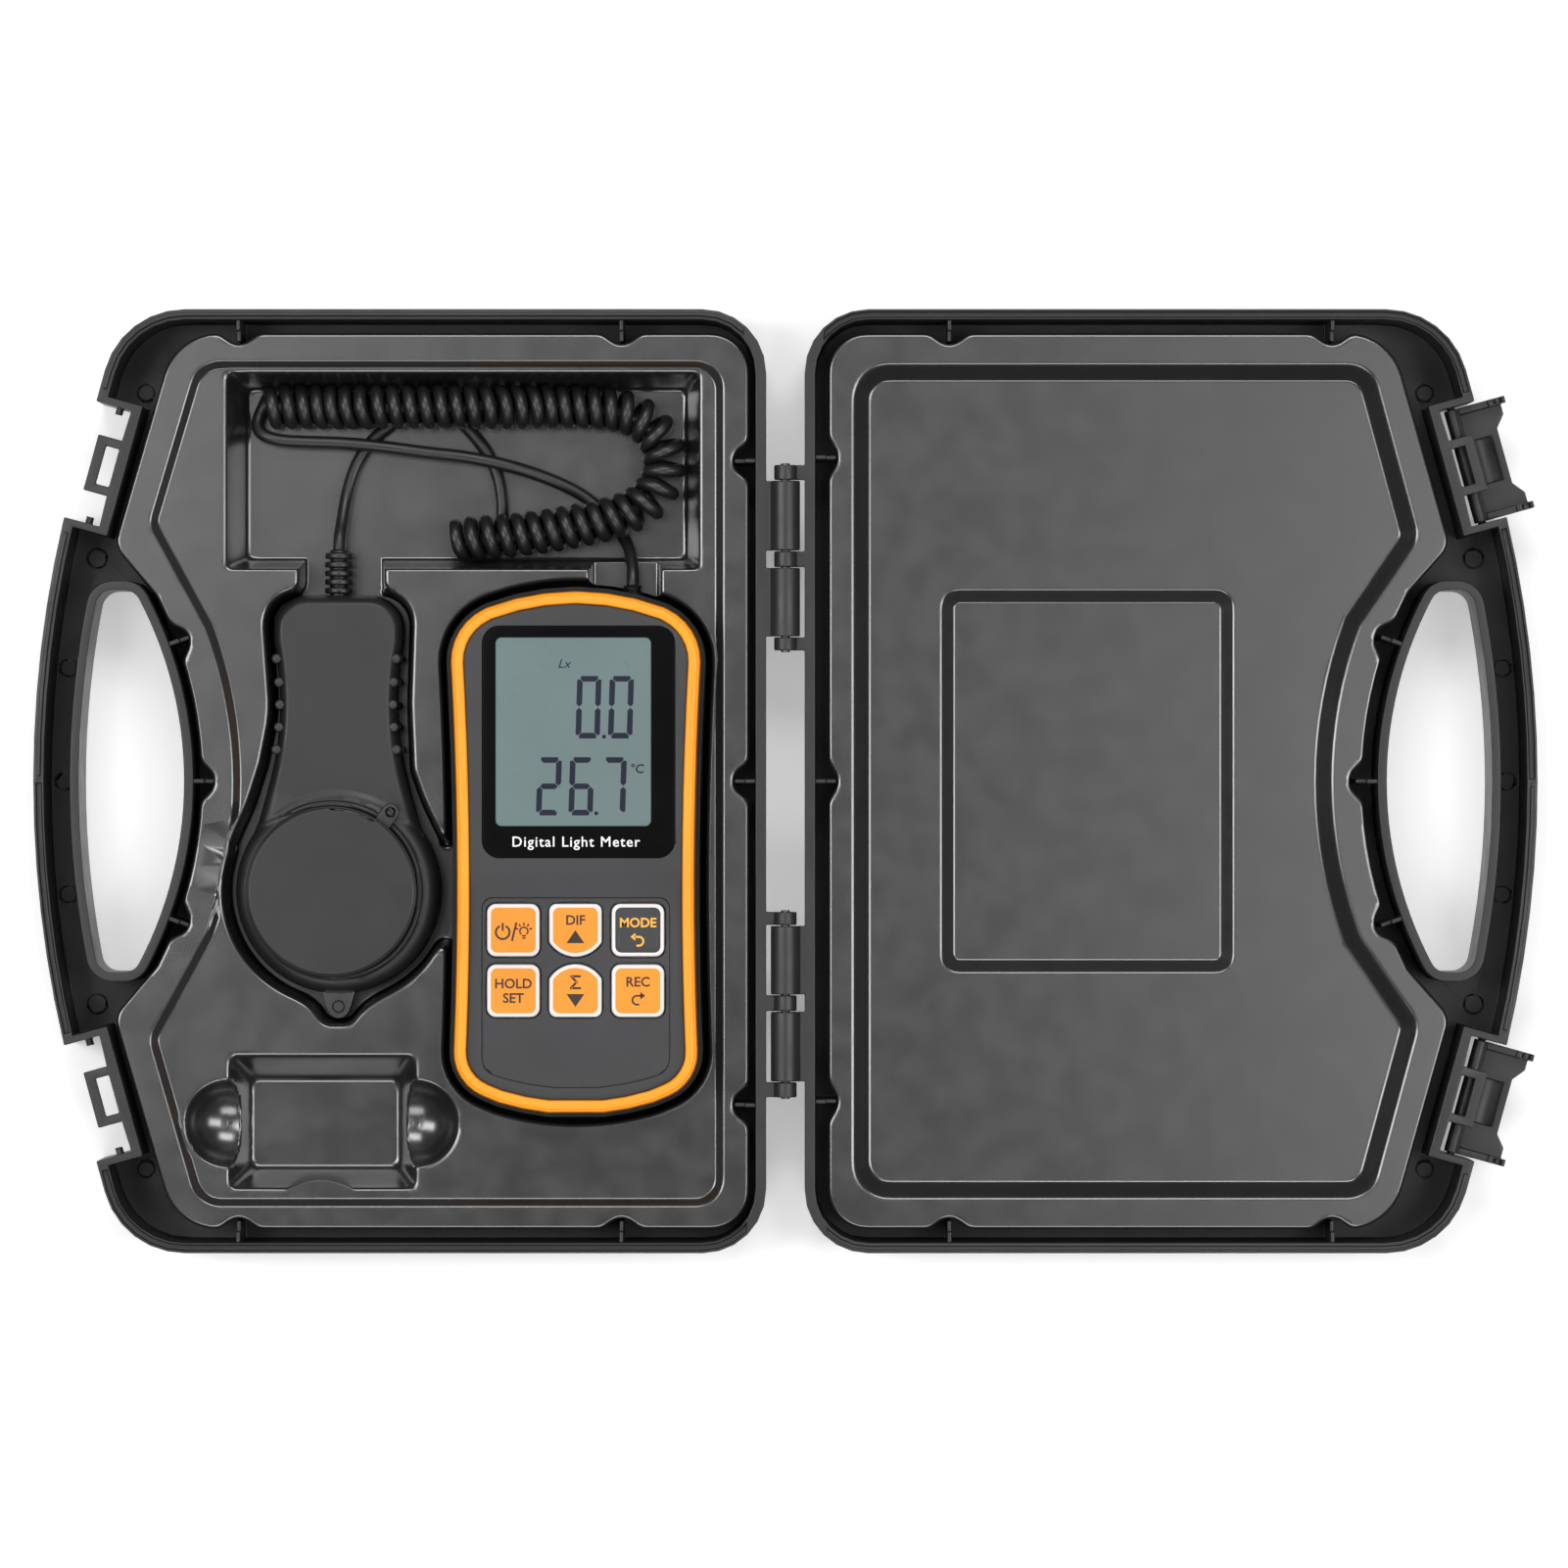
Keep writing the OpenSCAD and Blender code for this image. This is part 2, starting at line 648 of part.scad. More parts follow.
module lcd_backlight() {
    color("white") at_lcd() plate(board_top + 0.6, face_z - face_t - lcd_t - 0.2)
        square(backlight_size, center = true);
}

module lcd_frame() {
    color("gainsboro") at_lcd() plate(board_top, face_z - face_t - 0.2) difference() {
        square(lcd_size + 2 * lcd_frame_t, center = true);
        square([lcd_size[0] + 0.2, lcd_size[1] + 0.2], center = true);
    }
}

module zebra_strips() {
    color("dimgray") at_lcd() for (side = [-1, 1])
        translate([0, side * zebra[2], 0])
            block(-zebra[0], -zebra[1], board_top, zebra[0], zebra[1], face_z - face_t - lcd_t);
}

module main_board() {
    color(board_green) at_meter() plate(board_top - board_t, board_top) difference() {
        intersection() {
            offset(delta = -3.2) meter_outline();
            translate([0, -1]) square([80, 128], center = true);
        }
        for (p = boss_at) translate(p) circle(3.6);
        for (p = post_at) translate(p) circle(1.2);
    }
}

chips = [[0, 8, 14, 14], [18, 4, 6, 5], [-19, 10, 8, 5], [-18, -6, 5, 4]];

module board_chips() {
    color([0.12, 0.12, 0.13]) at_meter() for (c = chips)
        block(c[0] - c[2] / 2, c[1] - c[3] / 2, board_top - board_t - 1.6,
            c[0] + c[2] / 2, c[1] + c[3] / 2, board_top - board_t);
}

// Radius and height
thermistor_size = [1.5, 2.5];
buzzer_size = [6, 6.5];

module thermistor() {
    color("saddlebrown") at_meter() translate([22, -20, board_top - board_t - thermistor_size[1]])
        cylinder(r = thermistor_size[0], h = thermistor_size[1]);
}

module buzzer() {
    color([0.15, 0.15, 0.15]) at_meter() translate([16, 30, board_top - board_t - buzzer_size[1]])
        difference() {
            cylinder(r = buzzer_size[0], h = buzzer_size[1]);
            translate([0, 0, -1]) cylinder(r = 1.2, h = 3);
        }
}

mat = [26, -48, -13.5];         // half-width and ends of the keypad mat
mat_dome = 2.2;                 // height of its domes

module keypad_mat() {
    color([0.85, 0.85, 0.85]) at_meter() difference() {
        union() {
            block(-mat[0], mat[1], board_top, mat[0], mat[2], board_top + 1);
            for (i = [0 : 5]) at_key(i) translate([0, 0, board_top]) cylinder(r = 5, h = mat_dome);
        }
        for (i = [0 : 5]) at_key(i) translate([0, 0, board_top - 1]) cylinder(r = 3, h = mat_dome);
    }
}

key_bottom = board_top + mat_dome + key_travel + 0.1;
key_top = panel_z + 1.3;

module key(i, tint) {
    color(tint) at_meter() at_key(i) {
        plate(key_bottom, key_top - 0.5) key_plan(keys[i][2], 0);
        plate(key_top - 0.5 - eps, key_top) key_plan(keys[i][2], -0.5);
    }
}

module batteries() {
    color("steelblue") at_meter() for (i = [-1 : 1])
        translate([i * (2 * cell_r + 0.2), cells_y[0], cell_z]) rotate([-90, 0, 0]) {
            cylinder(r = cell_r - 0.05, h = cells_y[1] - cells_y[0] - 1);
            cylinder(r = 1.9, h = cells_y[1] - cells_y[0]);
        }
}

contact = [16.4, 0.5];          // half-length and thickness of a contact strip

module battery_contacts() {
    color(steel) at_meter() {
        block(-contact[0], bay[2] - contact[1], meter_z + 3, contact[0], bay[2], cell_z + 4);
        block(-contact[0], bay[1], meter_z + 3, contact[0], bay[1] + contact[1], cell_z + 4);
        for (i = [-1 : 1], turn = [0 : 1])
            translate([i * (2 * cell_r + 0.2), bay[1] + 1 + turn * 0.8, cell_z])
            rotate([90, 0, 0]) rotate_extrude() translate([3.4 - 0.9 * turn, 0]) circle(0.4, $fn = 16);
    }
}

module battery_door() {
    color(black) at_meter() {
        block(-door_plan[0], door_plan[1], meter_z + 0.1, door_plan[0], door_plan[2], meter_z + 1.5);
        for (y = [4 : 2 : 10])
            block(-6, door_plan[1] + y, meter_z - 0.15, 6, door_plan[1] + y + 0.9, meter_z + 0.2);
    }
}

module case_screws() {
    color(steel) at_meter() for (p = boss_at) translate([p[0], p[1], meter_z + 8.4]) difference() {
        union() {
            translate([0, 0, -2]) cylinder(r = 2.7, h = 2);
            translate([0, 0, -eps]) cylinder(r = 1.4, h = 16);
        }
        translate([0, 0, -3]) cylinder(r = 1.1, h = 2, $fn = 6);
    }
}

module board_screws() {
    color(steel) at_meter() for (p = post_at) translate([p[0], p[1], board_top - board_t]) {
        translate([0, 0, -1.2]) cylinder(r = 2, h = 1.2);
        cylinder(r = 0.8, h = 5);
    }
}

gland_start = 49.5;
gland_end = 55.8;

module meter_gland() {
    color(black) translate([gland_x, gland_start, gland_z]) rotate([-90, 0, 0]) difference() {
        cylinder(r = gland_r, h = gland_end - gland_start);
        for (groove = [0 : 1]) translate([0, 0, 4 + 1.2 * groove]) rotate_extrude()
            translate([gland_r - 0.4, 0]) square([1, 0.5]);
    }
}

// ---- Sensor head ----

sensor_z = pocket_z + 0.2;
sensor_mid = sensor_z + 9.5;
sensor_top = sensor_z + sensor_h;
neck_waist = [16.8, 53.3];      // half-width and place of the neck's narrowest point
neck_end = 84.4;
eye_shift = [-1.5, 0, 0];       // from the disc's middle to that of the sensor's eye

// Half-width of the neck at height y: it flares faster towards the disc
function neck_x(y) = neck_waist[0] + pow(y - neck_waist[1], 2) / (y < neck_waist[1] ? 170 : 180);

neck_points = left_and_right(concat([[23.4, 17.6]], [for (y = [29.3 : 6 : 72]) [neck_x(y), y]],
    [[18.6, neck_end, 9.7]]));
bump_y = [66.2, 59.5, 52.8, 46.7, 40.3];
tab_y = -33;

module sensor_outline() {
    circle(disc_r, $fn = 96);
    polygon(rounded(neck_points));
    difference() {
        hull() {
            translate([0, tab_y]) circle(3.4, $fn = 24);
            translate([-4.9, -28]) square([9.8, 1]);
        }
        translate([0, tab_y]) circle(1.6);
    }
    for (i = [0 : 4], side = [-1, 1])
        translate([side * (neck_x(bump_y[i]) + 0.1), bump_y[i]]) circle(1.1, $fn = 16);
}

module at_sensor() translate([sensor_at[0], sensor_at[1], 0]) children();

module at_eye() at_sensor() translate(eye_shift) children();

sensor_screw_at = [[-20.2, -14.2], [19, -14], [0, 66]];
relief_z = 12;
relief_start = 46.5;
relief_end = 66;
relief_r = 2.6;
seat_r = 25.5;
diffuser_r = 20.3;
dome_r = 50;                    // curvature of the diffuser's top

module inside_plan() {
    offset(delta = -2) {
        circle(disc_r, $fn = 96);
        polygon(rounded(neck_points));
    }
}

module sensor_bottom_shell() {
    color(black) difference() {
        at_sensor() {
            difference() {
                union() {
                    plate(sensor_z + 2, sensor_mid) sensor_outline();
                    plate(sensor_z, sensor_z + 2 + eps) offset(delta = -1.2) sensor_outline();
                }
                plate(sensor_z + 2, sensor_mid + 1) inside_plan();
            }
            for (p = sensor_screw_at) translate([p[0], p[1], sensor_z + 1])
                cylinder(r = 3.2, h = sensor_mid - sensor_z - 1);
        }
        at_sensor() for (p = sensor_screw_at) translate([p[0], p[1], sensor_z - 1]) {
            cylinder(r = 2.3, h = 4);
            cylinder(r = 1.2, h = 20);
        }
        translate([sensor_at[0], 40, relief_z]) rotate([-90, 0, 0]) cylinder(r = relief_r, h = 30);
    }
}

module sensor_top_shell() {
    color(charcoal) difference() {
        at_sensor() {
            difference() {
                union() {
                    plate(sensor_mid, sensor_top - 2) sensor_outline();
                    plate(sensor_top - 2 - eps, sensor_top) offset(delta = -1.6) sensor_outline();
                    translate(eye_shift) plate(sensor_top - eps, sensor_top + 1) circle(seat_r, $fn = 96);
                }
                plate(sensor_mid - 1, sensor_top - 2) inside_plan();
                translate(eye_shift) {
                    plate(sensor_mid, sensor_top + 2) circle(diffuser_r + 0.3, $fn = 96);
                    plate(sensor_top, sensor_top + 2) circle(cap_r + 0.4, $fn = 96);
                }
            }
            for (p = sensor_screw_at) translate([p[0], p[1], sensor_mid])
                cylinder(r = 3, h = sensor_top - 2 - sensor_mid);
        }
        at_sensor() for (p = sensor_screw_at) translate([p[0], p[1], sensor_mid - 1]) cylinder(r = 1, h = 6);
        translate([sensor_at[0], 40, relief_z]) rotate([-90, 0, 0]) cylinder(r = relief_r, h = 30);
    }
}

// A shallow milk-white dome with a flange below the housing's opening
module diffuser() {
    color("white") at_eye() {
        translate([0, 0, sensor_top - 3.2]) cylinder(r = diffuser_r, h = 4.2, $fn = 96);
        intersection() {
            translate([0, 0, sensor_top + 5.4 - dome_r]) sphere(r = dome_r, $fn = 96);
            translate([0, 0, sensor_top + 0.9]) cylinder(r = diffuser_r, h = 10, $fn = 96);
        }
    }
}

filter_z = sensor_top - 5;

module colour_filter() {
    color([0.35, 0.55, 0.40]) at_eye() translate([0, 0, filter_z]) cylinder(r = 8, h = 1.6);
}

module photodiode() {
    color([0.2, 0.22, 0.3]) at_eye() block(-5, -5, filter_z - 2.6, 5, 5, filter_z - 0.1);
}

module sensor_board() {
    color(board_green) at_sensor() plate(filter_z - 4.2, filter_z - 2.6) difference() {
        union() {
            circle(22);
            translate([-9, 0]) square([18, 50]);
        }
        for (p = sensor_screw_at) translate(p) circle(3.4);
    }
}

module sensor_screws() {
    color(steel) at_sensor() for (p = sensor_screw_at) translate([p[0], p[1], sensor_z + 3]) difference() {
        union() {
            translate([0, 0, -1.6]) cylinder(r = 2.1, h = 1.6);
            translate([0, 0, -eps]) cylinder(r = 0.95, h = 9);
        }
        translate([0, 0, -2.6]) cylinder(r = 0.8, h = 1.8, $fn = 6);
    }
}

relief_rings = 5;
first_ring_y = 53.6;
ring_r = 4;

module sensor_strain_relief() {
    pitch = (relief_end - first_ring_y) / relief_rings;
    color(black) translate([sensor_at[0], 0, relief_z]) rotate([-90, 0, 0]) {
        translate([0, 0, relief_start]) cylinder(r = relief_r, h = relief_end - relief_start);
        for (i = [0 : relief_rings - 1]) translate([0, 0, first_ring_y + i * pitch])
            cylinder(r = ring_r, h = pitch * 0.65);
    }
}

cap_top = sensor_top + 7;
cap_z = sensor_top + 0.1;
cap_tab_turn = 53.3;
cap_wall = 1.6;
cap_edge = 0.6;                 // chamfer round the cap's top
cap_tab_at = 28.1;

module sensor_cap() {
    color(black) at_eye() difference() {
        union() {
            translate([0, 0, cap_z]) cylinder(r = cap_r, h = cap_top - cap_z - cap_edge, $fn = 96);
            translate([0, 0, cap_top - cap_edge - eps])
                cylinder(r1 = cap_r, r2 = cap_r - cap_edge, h = cap_edge + eps, $fn = 96);
            rotate(cap_tab_turn) plate(cap_top - 4, cap_top - 2.4) hull() {
                translate([cap_tab_at, 0]) circle(2.5, $fn = 24);
                translate([21, -2.5]) square([1, 5]);
            }
            rotate(cap_tab_turn) translate([cap_tab_at, 0, cap_top - 2.5]) cylinder(r = 1.3, h = 1);
        }
        translate([0, 0, cap_z - 1])
            cylinder(r = cap_r - cap_wall, h = cap_top - cap_z + 1 - cap_wall, $fn = 96);
    }
}

// ---- Cord ----

wire_r = wire_d / 2;
coil_r = coil_d / 2;
lead_z = pocket_z + wire_r + 0.15;

meter_route = [[-43.6, 55.8, 14], [-43.6, 59, 13.4], [-44, 63, 11], [-45.2, 67.4, 7.8], [-48, 72.5, 5.7],
    [-52.5, 77.5, lead_z], [-60, 83, 5.6], [-70, 87.4, 6.8], [-80, 90.4, 8.8], [-91, 92.6, 9.6],
    [-103, 94, 9.6], [-115, 95.6, 9.6], [-126, 96.6, 9.6], [-137, 97, 9.8], [-144, 97.4, 10],
    [-149.2, 98.8, 9.6], [-152, 101, 8.2], [-152, 103.4, 6.6], [-150.2, 105.2, 5.6]];

coil_route = [[-148.6, 106.8, 10.1], [-134, 106.8, 10.2], [-124, 106.8, 12.2], [-116, 106.8, 13.8],
    [-100, 106.8, 14], [-86, 106.8, 13.8], [-76, 106.8, 12], [-66, 106.8, 10.2], [-52, 106.4, 10.1],
    [-43, 104.4, 10.1], [-36.8, 99.2, 10.3], [-34.4, 92.4, 11], [-35.8, 84.8, 12.2], [-40.6, 79, 13.6],
    [-48, 75.6, 14], [-60, 72.8, 14], [-74, 70.6, 14], [-86, 69.6, 13.8], [-95, 69, 12]];

sensor_route = [[-95, 66.6, 6.4], [-93, 65.6, 5.6], [-89.4, 65.4, lead_z], [-85.6, 66.6, lead_z],
    [-82.8, 69.8, lead_z], [-81.4, 74, lead_z], [-81.2, 80, lead_z], [-82.4, 87, lead_z],
    [-85.4, 94, lead_z], [-91, 101, lead_z], [-96.4, 105.8, lead_z], [-102, 107.4, lead_z],
    [-107.6, 105.6, lead_z], [-113, 102, lead_z], [-118.6, 97, lead_z], [-123, 90, 5.5],
    [-125.6, 81.6, 6.4], [-126.8, 74, 9], [-127.4, 69.4, 11.4], [-127.5, 66, 12]];

function heading(route, i) = unit(route[min(i + 1, len(route) - 1)] - route[max(i - 1, 0)]);

// One ring of the tube, square to the route, as points
function ring(route, i, r, sides) =
    let (t = heading(route, i), across = unit(cross([0, 0, 1], t)), up = cross(t, across))
    [for (k = [0 : sides - 1]) route[i] + r * (cos(360 * k / sides) * across + sin(360 * k / sides) * up)];

module tube(route, r, sides) {
    n = len(route);
    points = [for (i = [0 : n - 1]) each ring(route, i, r, sides)];
    skin = [for (i = [0 : n - 2], k = [0 : sides - 1])
        let (a = i * sides + k, b = i * sides + (k + 1) % sides)
        each [[a, a + sides, b], [b, a + sides, b + sides]]];
    polyhedron(points, concat([[for (k = [0 : sides - 1]) k]], skin,
        [[for (k = [sides - 1 : -1 : 0]) (n - 1) * sides + k]]));
}

module cord_meter_lead() color(black) tube(meter_route, wire_r, 8);

module cord_coil() color(black) tube(coil_route, coil_r, 12);

module cord_sensor_lead() color(black) tube(sensor_route, wire_r, 8);

// ---- Nodes ----

base_shell();
base_tray();
lid_shell();
lid_tray();
hinge_pin(1);  // hinge_pin_upper
hinge_pin(-1);  // hinge_pin_lower
latch(-1);  // latch_upper
latch(1);  // latch_lower
rear_cover();
front_cover();
bumper_band();
display_window();
lcd_panel();
lcd_backlight();
lcd_frame();
zebra_strips();
main_board();
board_chips();
thermistor();
buzzer();
keypad_mat();
key(0, orange);  // key_power
key(1, orange);  // key_dif
key(2, charcoal);  // key_mode
key(3, orange);  // key_hold
key(4, orange);  // key_sum
key(5, orange);  // key_rec
batteries();
battery_contacts();
battery_door();
case_screws();
board_screws();
meter_gland();
sensor_bottom_shell();
sensor_top_shell();
diffuser();
colour_filter();
photodiode();
sensor_board();
sensor_screws();
sensor_strain_relief();
sensor_cap();
cord_meter_lead();
cord_coil();
cord_sensor_lead();
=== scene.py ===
"""Looks of the split light meter in its opened carry case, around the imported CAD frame. Metres throughout."""
import json
import math

import bmesh
import bpy
import numpy as np
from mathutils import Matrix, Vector, geometry


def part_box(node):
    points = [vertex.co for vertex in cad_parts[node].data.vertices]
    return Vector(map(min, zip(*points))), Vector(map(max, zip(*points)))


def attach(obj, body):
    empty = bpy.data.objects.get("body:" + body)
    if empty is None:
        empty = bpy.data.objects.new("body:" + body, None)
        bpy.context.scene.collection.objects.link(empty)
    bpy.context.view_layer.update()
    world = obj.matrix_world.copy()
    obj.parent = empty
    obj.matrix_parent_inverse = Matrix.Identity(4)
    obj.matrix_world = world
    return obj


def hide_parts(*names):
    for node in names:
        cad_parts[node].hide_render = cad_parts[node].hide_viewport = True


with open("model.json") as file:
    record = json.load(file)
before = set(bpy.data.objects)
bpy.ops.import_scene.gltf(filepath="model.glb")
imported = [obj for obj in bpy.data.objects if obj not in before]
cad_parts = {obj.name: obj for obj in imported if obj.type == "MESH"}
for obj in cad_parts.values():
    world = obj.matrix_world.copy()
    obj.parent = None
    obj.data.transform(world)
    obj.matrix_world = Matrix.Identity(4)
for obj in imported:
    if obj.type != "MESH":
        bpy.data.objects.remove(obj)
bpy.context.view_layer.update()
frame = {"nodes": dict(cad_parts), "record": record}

scene = bpy.context.scene
MM = 0.001


# ---- Camera: straight down on the opened case ----

RIM_Z = 0.030
CAMERA_HEIGHT = 2.80            # above the rim
VIEW_WIDTH = 0.445              # what the frame covers at the rim
CAMERA_AT = (-0.0004, -0.0008)

camera_data = bpy.data.cameras.new("camera")
camera_data.sensor_width = 36
camera_data.lens = camera_data.sensor_width * CAMERA_HEIGHT / VIEW_WIDTH
camera_data.clip_start = 0.01
camera_data.clip_end = 20
camera = bpy.data.objects.new("camera", camera_data)
camera.location = (*CAMERA_AT, RIM_Z + CAMERA_HEIGHT)
scene.collection.objects.link(camera)
scene.camera = camera


# ---- Materials ----

def principled(name):
    """A new material with its node tree and shader."""
    material = bpy.data.materials.new(name)
    material.use_nodes = True
    tree = material.node_tree
    return material, tree, tree.nodes["Principled BSDF"]


def noise(tree, size, detail=3.0):
    """Noise in the object's own space whose features are about that size, in metres."""
    place = tree.nodes.new("ShaderNodeTexCoord")
    mapping = tree.nodes.new("ShaderNodeMapping")
    mapping.inputs["Scale"].default_value = [1 / size] * 3
    texture = tree.nodes.new("ShaderNodeTexNoise")
    texture.inputs["Scale"].default_value = 1.0
    texture.inputs["Detail"].default_value = detail
    tree.links.new(place.outputs["Object"], mapping.inputs["Vector"])
    tree.links.new(mapping.outputs["Vector"], texture.inputs["Vector"])
    return texture.outputs["Fac"]


def ramp(tree, source, low, high, start=0.35, end=0.65):
    """Maps a noise value to the range low..high."""
    node = tree.nodes.new("ShaderNodeMapRange")
    node.inputs["From Min"].default_value = start
    node.inputs["From Max"].default_value = end
    node.inputs["To Min"].default_value = low
    node.inputs["To Max"].default_value = high
    tree.links.new(source, node.inputs["Value"])
    return node.outputs["Result"]


def tones(tree, source, dark, light):
    """Mixes two colours by a value."""
    node = tree.nodes.new("ShaderNodeMix")
    node.data_type = "RGBA"
    tree.links.new(source, node.inputs["Factor"])
    node.inputs["A"].default_value = (*dark, 1)
    node.inputs["B"].default_value = (*light, 1)
    return node.outputs["Result"]


def bump(tree, shader, source, depth, strength=1.0, below=None):
    """Adds relief of that depth, on top of the relief below."""
    node = tree.nodes.new("ShaderNodeBump")
    node.inputs["Distance"].default_value = depth
    node.inputs["Strength"].default_value = strength
    tree.links.new(source, node.inputs["Height"])
    if below:
        tree.links.new(below, node.inputs["Normal"])
    tree.links.new(node.outputs["Normal"], shader.inputs["Normal"])
    return node.outputs["Normal"]


MOTTLE_SIZE = 30 * MM           # slow change of colour
GLOSS_SIZE = 9 * MM             # slow change of roughness
WAVE_SIZE = 45 * MM             # slow waves of a formed sheet
COAT_ROUGH = 0.12
GRAIN_STRENGTH = 0.6


def plastic(name, colour, rough, grain=0.4, relief=0.02, mottle=0.12, wave=0.0, coat=0.0,
        specular=0.5, metallic=0.0, ior=1.5):
    """Plastic or metal with a fine grain, its size and relief in mm, and waves in a formed sheet."""
    material, tree, shader = principled(name)
    slow = ramp(tree, noise(tree, MOTTLE_SIZE), 0, 1)
    dark = [c * (1 - mottle) for c in colour]
    light = [min(1, c * (1 + mottle)) for c in colour]
    tree.links.new(tones(tree, slow, dark, light), shader.inputs["Base Color"])
    gloss = ramp(tree, noise(tree, GLOSS_SIZE), rough * 0.9, rough * 1.1)
    tree.links.new(gloss, shader.inputs["Roughness"])
    shader.inputs["Specular IOR Level"].default_value = specular
    shader.inputs["Coat Weight"].default_value = coat
    shader.inputs["Coat Roughness"].default_value = COAT_ROUGH
    shader.inputs["Metallic"].default_value = metallic
    shader.inputs["IOR"].default_value = ior
    below = bump(tree, shader, noise(tree, WAVE_SIZE, 2.0), wave * MM) if wave else None
    if relief:
        bump(tree, shader, noise(tree, grain * MM, 2.0), relief * MM, GRAIN_STRENGTH, below)
    return material


MATERIALS = {
    "case_black": plastic("case_black", (0.016, 0.016, 0.0165), 0.42, grain=0.7, relief=0.02),
    "tray_charcoal": plastic("tray_charcoal", (0.014, 0.014, 0.0145), 0.24, grain=0.5, relief=0.0015,
        mottle=0.05, wave=0.05, specular=1.0, ior=1.65),
    "hinge_steel": plastic("hinge_steel", (0.12, 0.12, 0.125), 0.35, metallic=1.0),
    "latch_black": plastic("latch_black", (0.012, 0.012, 0.0125), 0.4, grain=0.6),
    "housing_grey": plastic("housing_grey", (0.026, 0.0265, 0.029), 0.5, grain=0.35, relief=0.03),
    "rear_black": plastic("rear_black", (0.009, 0.009, 0.0095), 0.5, grain=0.35, specular=0.25),
    "band_orange": plastic("band_orange", (1.0, 0.33, 0.005), 0.42, grain=0.5, relief=0.01, mottle=0.05),
    "window_black": plastic("window_black", (0.004, 0.004, 0.0045), 0.15, relief=0.001, specular=0.12),
    "lcd_glass": plastic("lcd_glass", (0.138, 0.19, 0.19), 0.3, relief=0.0, mottle=0.03, specular=0.2),
    "white_plastic": plastic("white_plastic", (0.8, 0.8, 0.78), 0.5),
    "conductive_rubber": plastic("conductive_rubber", (0.25, 0.2, 0.2), 0.7),
    "board_green": plastic("board_green", (0.02, 0.13, 0.06), 0.35, coat=0.3),
    "chip_black": plastic("chip_black", (0.02, 0.02, 0.02), 0.6),
    "silicone_grey": plastic("silicone_grey", (0.72, 0.68, 0.66), 0.5, relief=0.005, mottle=0.04),
    "key_orange": plastic("key_orange", (0.85, 0.27, 0.012), 0.45, relief=0.006, mottle=0.05),
    "key_dark": plastic("key_dark", (0.03, 0.031, 0.034), 0.4, relief=0.006),
    "cell_wrap": plastic("cell_wrap", (0.08, 0.16, 0.3), 0.25, coat=0.4),
    "contact_steel": plastic("contact_steel", (0.7, 0.7, 0.72), 0.2, metallic=1.0),
    "screw_steel": plastic("screw_steel", (0.55, 0.55, 0.57), 0.35, metallic=1.0),
    "sensor_grey": plastic("sensor_grey", (0.014, 0.014, 0.015), 0.45, grain=0.35, relief=0.02),
    "diffuser_white": plastic("diffuser_white", (0.88, 0.88, 0.86), 0.3, relief=0.002, mottle=0.02),
    "filter_green": plastic("filter_green", (0.3, 0.5, 0.35), 0.1),
    "diode_dark": plastic("diode_dark", (0.05, 0.06, 0.1), 0.15),
    "cord_black": plastic("cord_black", (0.009, 0.009, 0.009), 0.38, grain=0.3, relief=0.01),
    "cap_black": plastic("cap_black", (0.012, 0.012, 0.0125), 0.45, grain=0.35, relief=0.02),
    "print_white": plastic("print_white", (0.85, 0.85, 0.85), 0.5, relief=0.001, mottle=0.03),
    "print_dark": plastic("print_dark", (0.02, 0.01, 0.007), 0.5, relief=0.001),
    "print_orange": plastic("print_orange", (1.0, 0.42, 0.04), 0.5, relief=0.001, mottle=0.05),
    "segment_dark": plastic("segment_dark", (0.014, 0.016, 0.032), 0.5, relief=0.001, specular=0.15),
}


# ---- Putting pieces in place ----

def put(obj, body, finish):
    """Gives a piece its finish and lets it ride on a body."""
    obj.data.materials.clear()
    obj.data.materials.append(MATERIALS[finish])
    if not obj.users_collection:
        scene.collection.objects.link(obj)
    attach(obj, body)
    return obj


def mesh_piece(name, body, finish, vertices, faces):
    """A smooth piece from vertices in metres and faces."""
    data = bpy.data.meshes.new(name)
    data.from_pydata([tuple(v) for v in vertices], [], [tuple(f) for f in faces])
    data.update()
    data.shade_smooth()
    return put(bpy.data.objects.new(name, data), body, finish)


def bevelled(obj, width, segments, angle):
    """Rounds the edges sharper than that angle, width in millimetres."""
    bevel = obj.modifiers.new("edges", "BEVEL")
    bevel.width = width * MM
    bevel.segments = segments
    bevel.limit_method = "ANGLE"
    bevel.angle_limit = math.radians(angle)
    return bevel


def weighted(obj):
    """Lets the large faces set the shading, so that flats look flat beside rounded edges."""
    modifier = obj.modifiers.new("normals", "WEIGHTED_NORMAL")
    modifier.keep_sharp = True
    modifier.weight = 80


WELD_GAP = 0.002 * MM
FLAT_ANGLE = 0.01               # triangles within this angle, in radians, become one face


def rounded_copy(node, body, finish, width, name=None, drop=None):
    """A CAD node's shape with broken edges, less the faces that drop picks. It replaces the node."""
    shape = bmesh.new()
    shape.from_mesh(frame["nodes"][node].data)
    bmesh.ops.remove_doubles(shape, verts=shape.verts, dist=WELD_GAP)
    bmesh.ops.join_triangles(shape, faces=shape.faces, angle_face_threshold=FLAT_ANGLE,
        angle_shape_threshold=math.pi)
    if drop:
        bmesh.ops.delete(shape, geom=[f for f in shape.faces if drop(f)], context="FACES")
    data = bpy.data.meshes.new(node)
    shape.to_mesh(data)
    shape.free()
    data.shade_smooth()
    obj = bpy.data.objects.new(name or node + "_finish", data)
    bevelled(obj, width, 2, 32).use_clamp_overlap = False
    weighted(obj)
    put(obj, body, finish)
    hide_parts(node)
    return obj


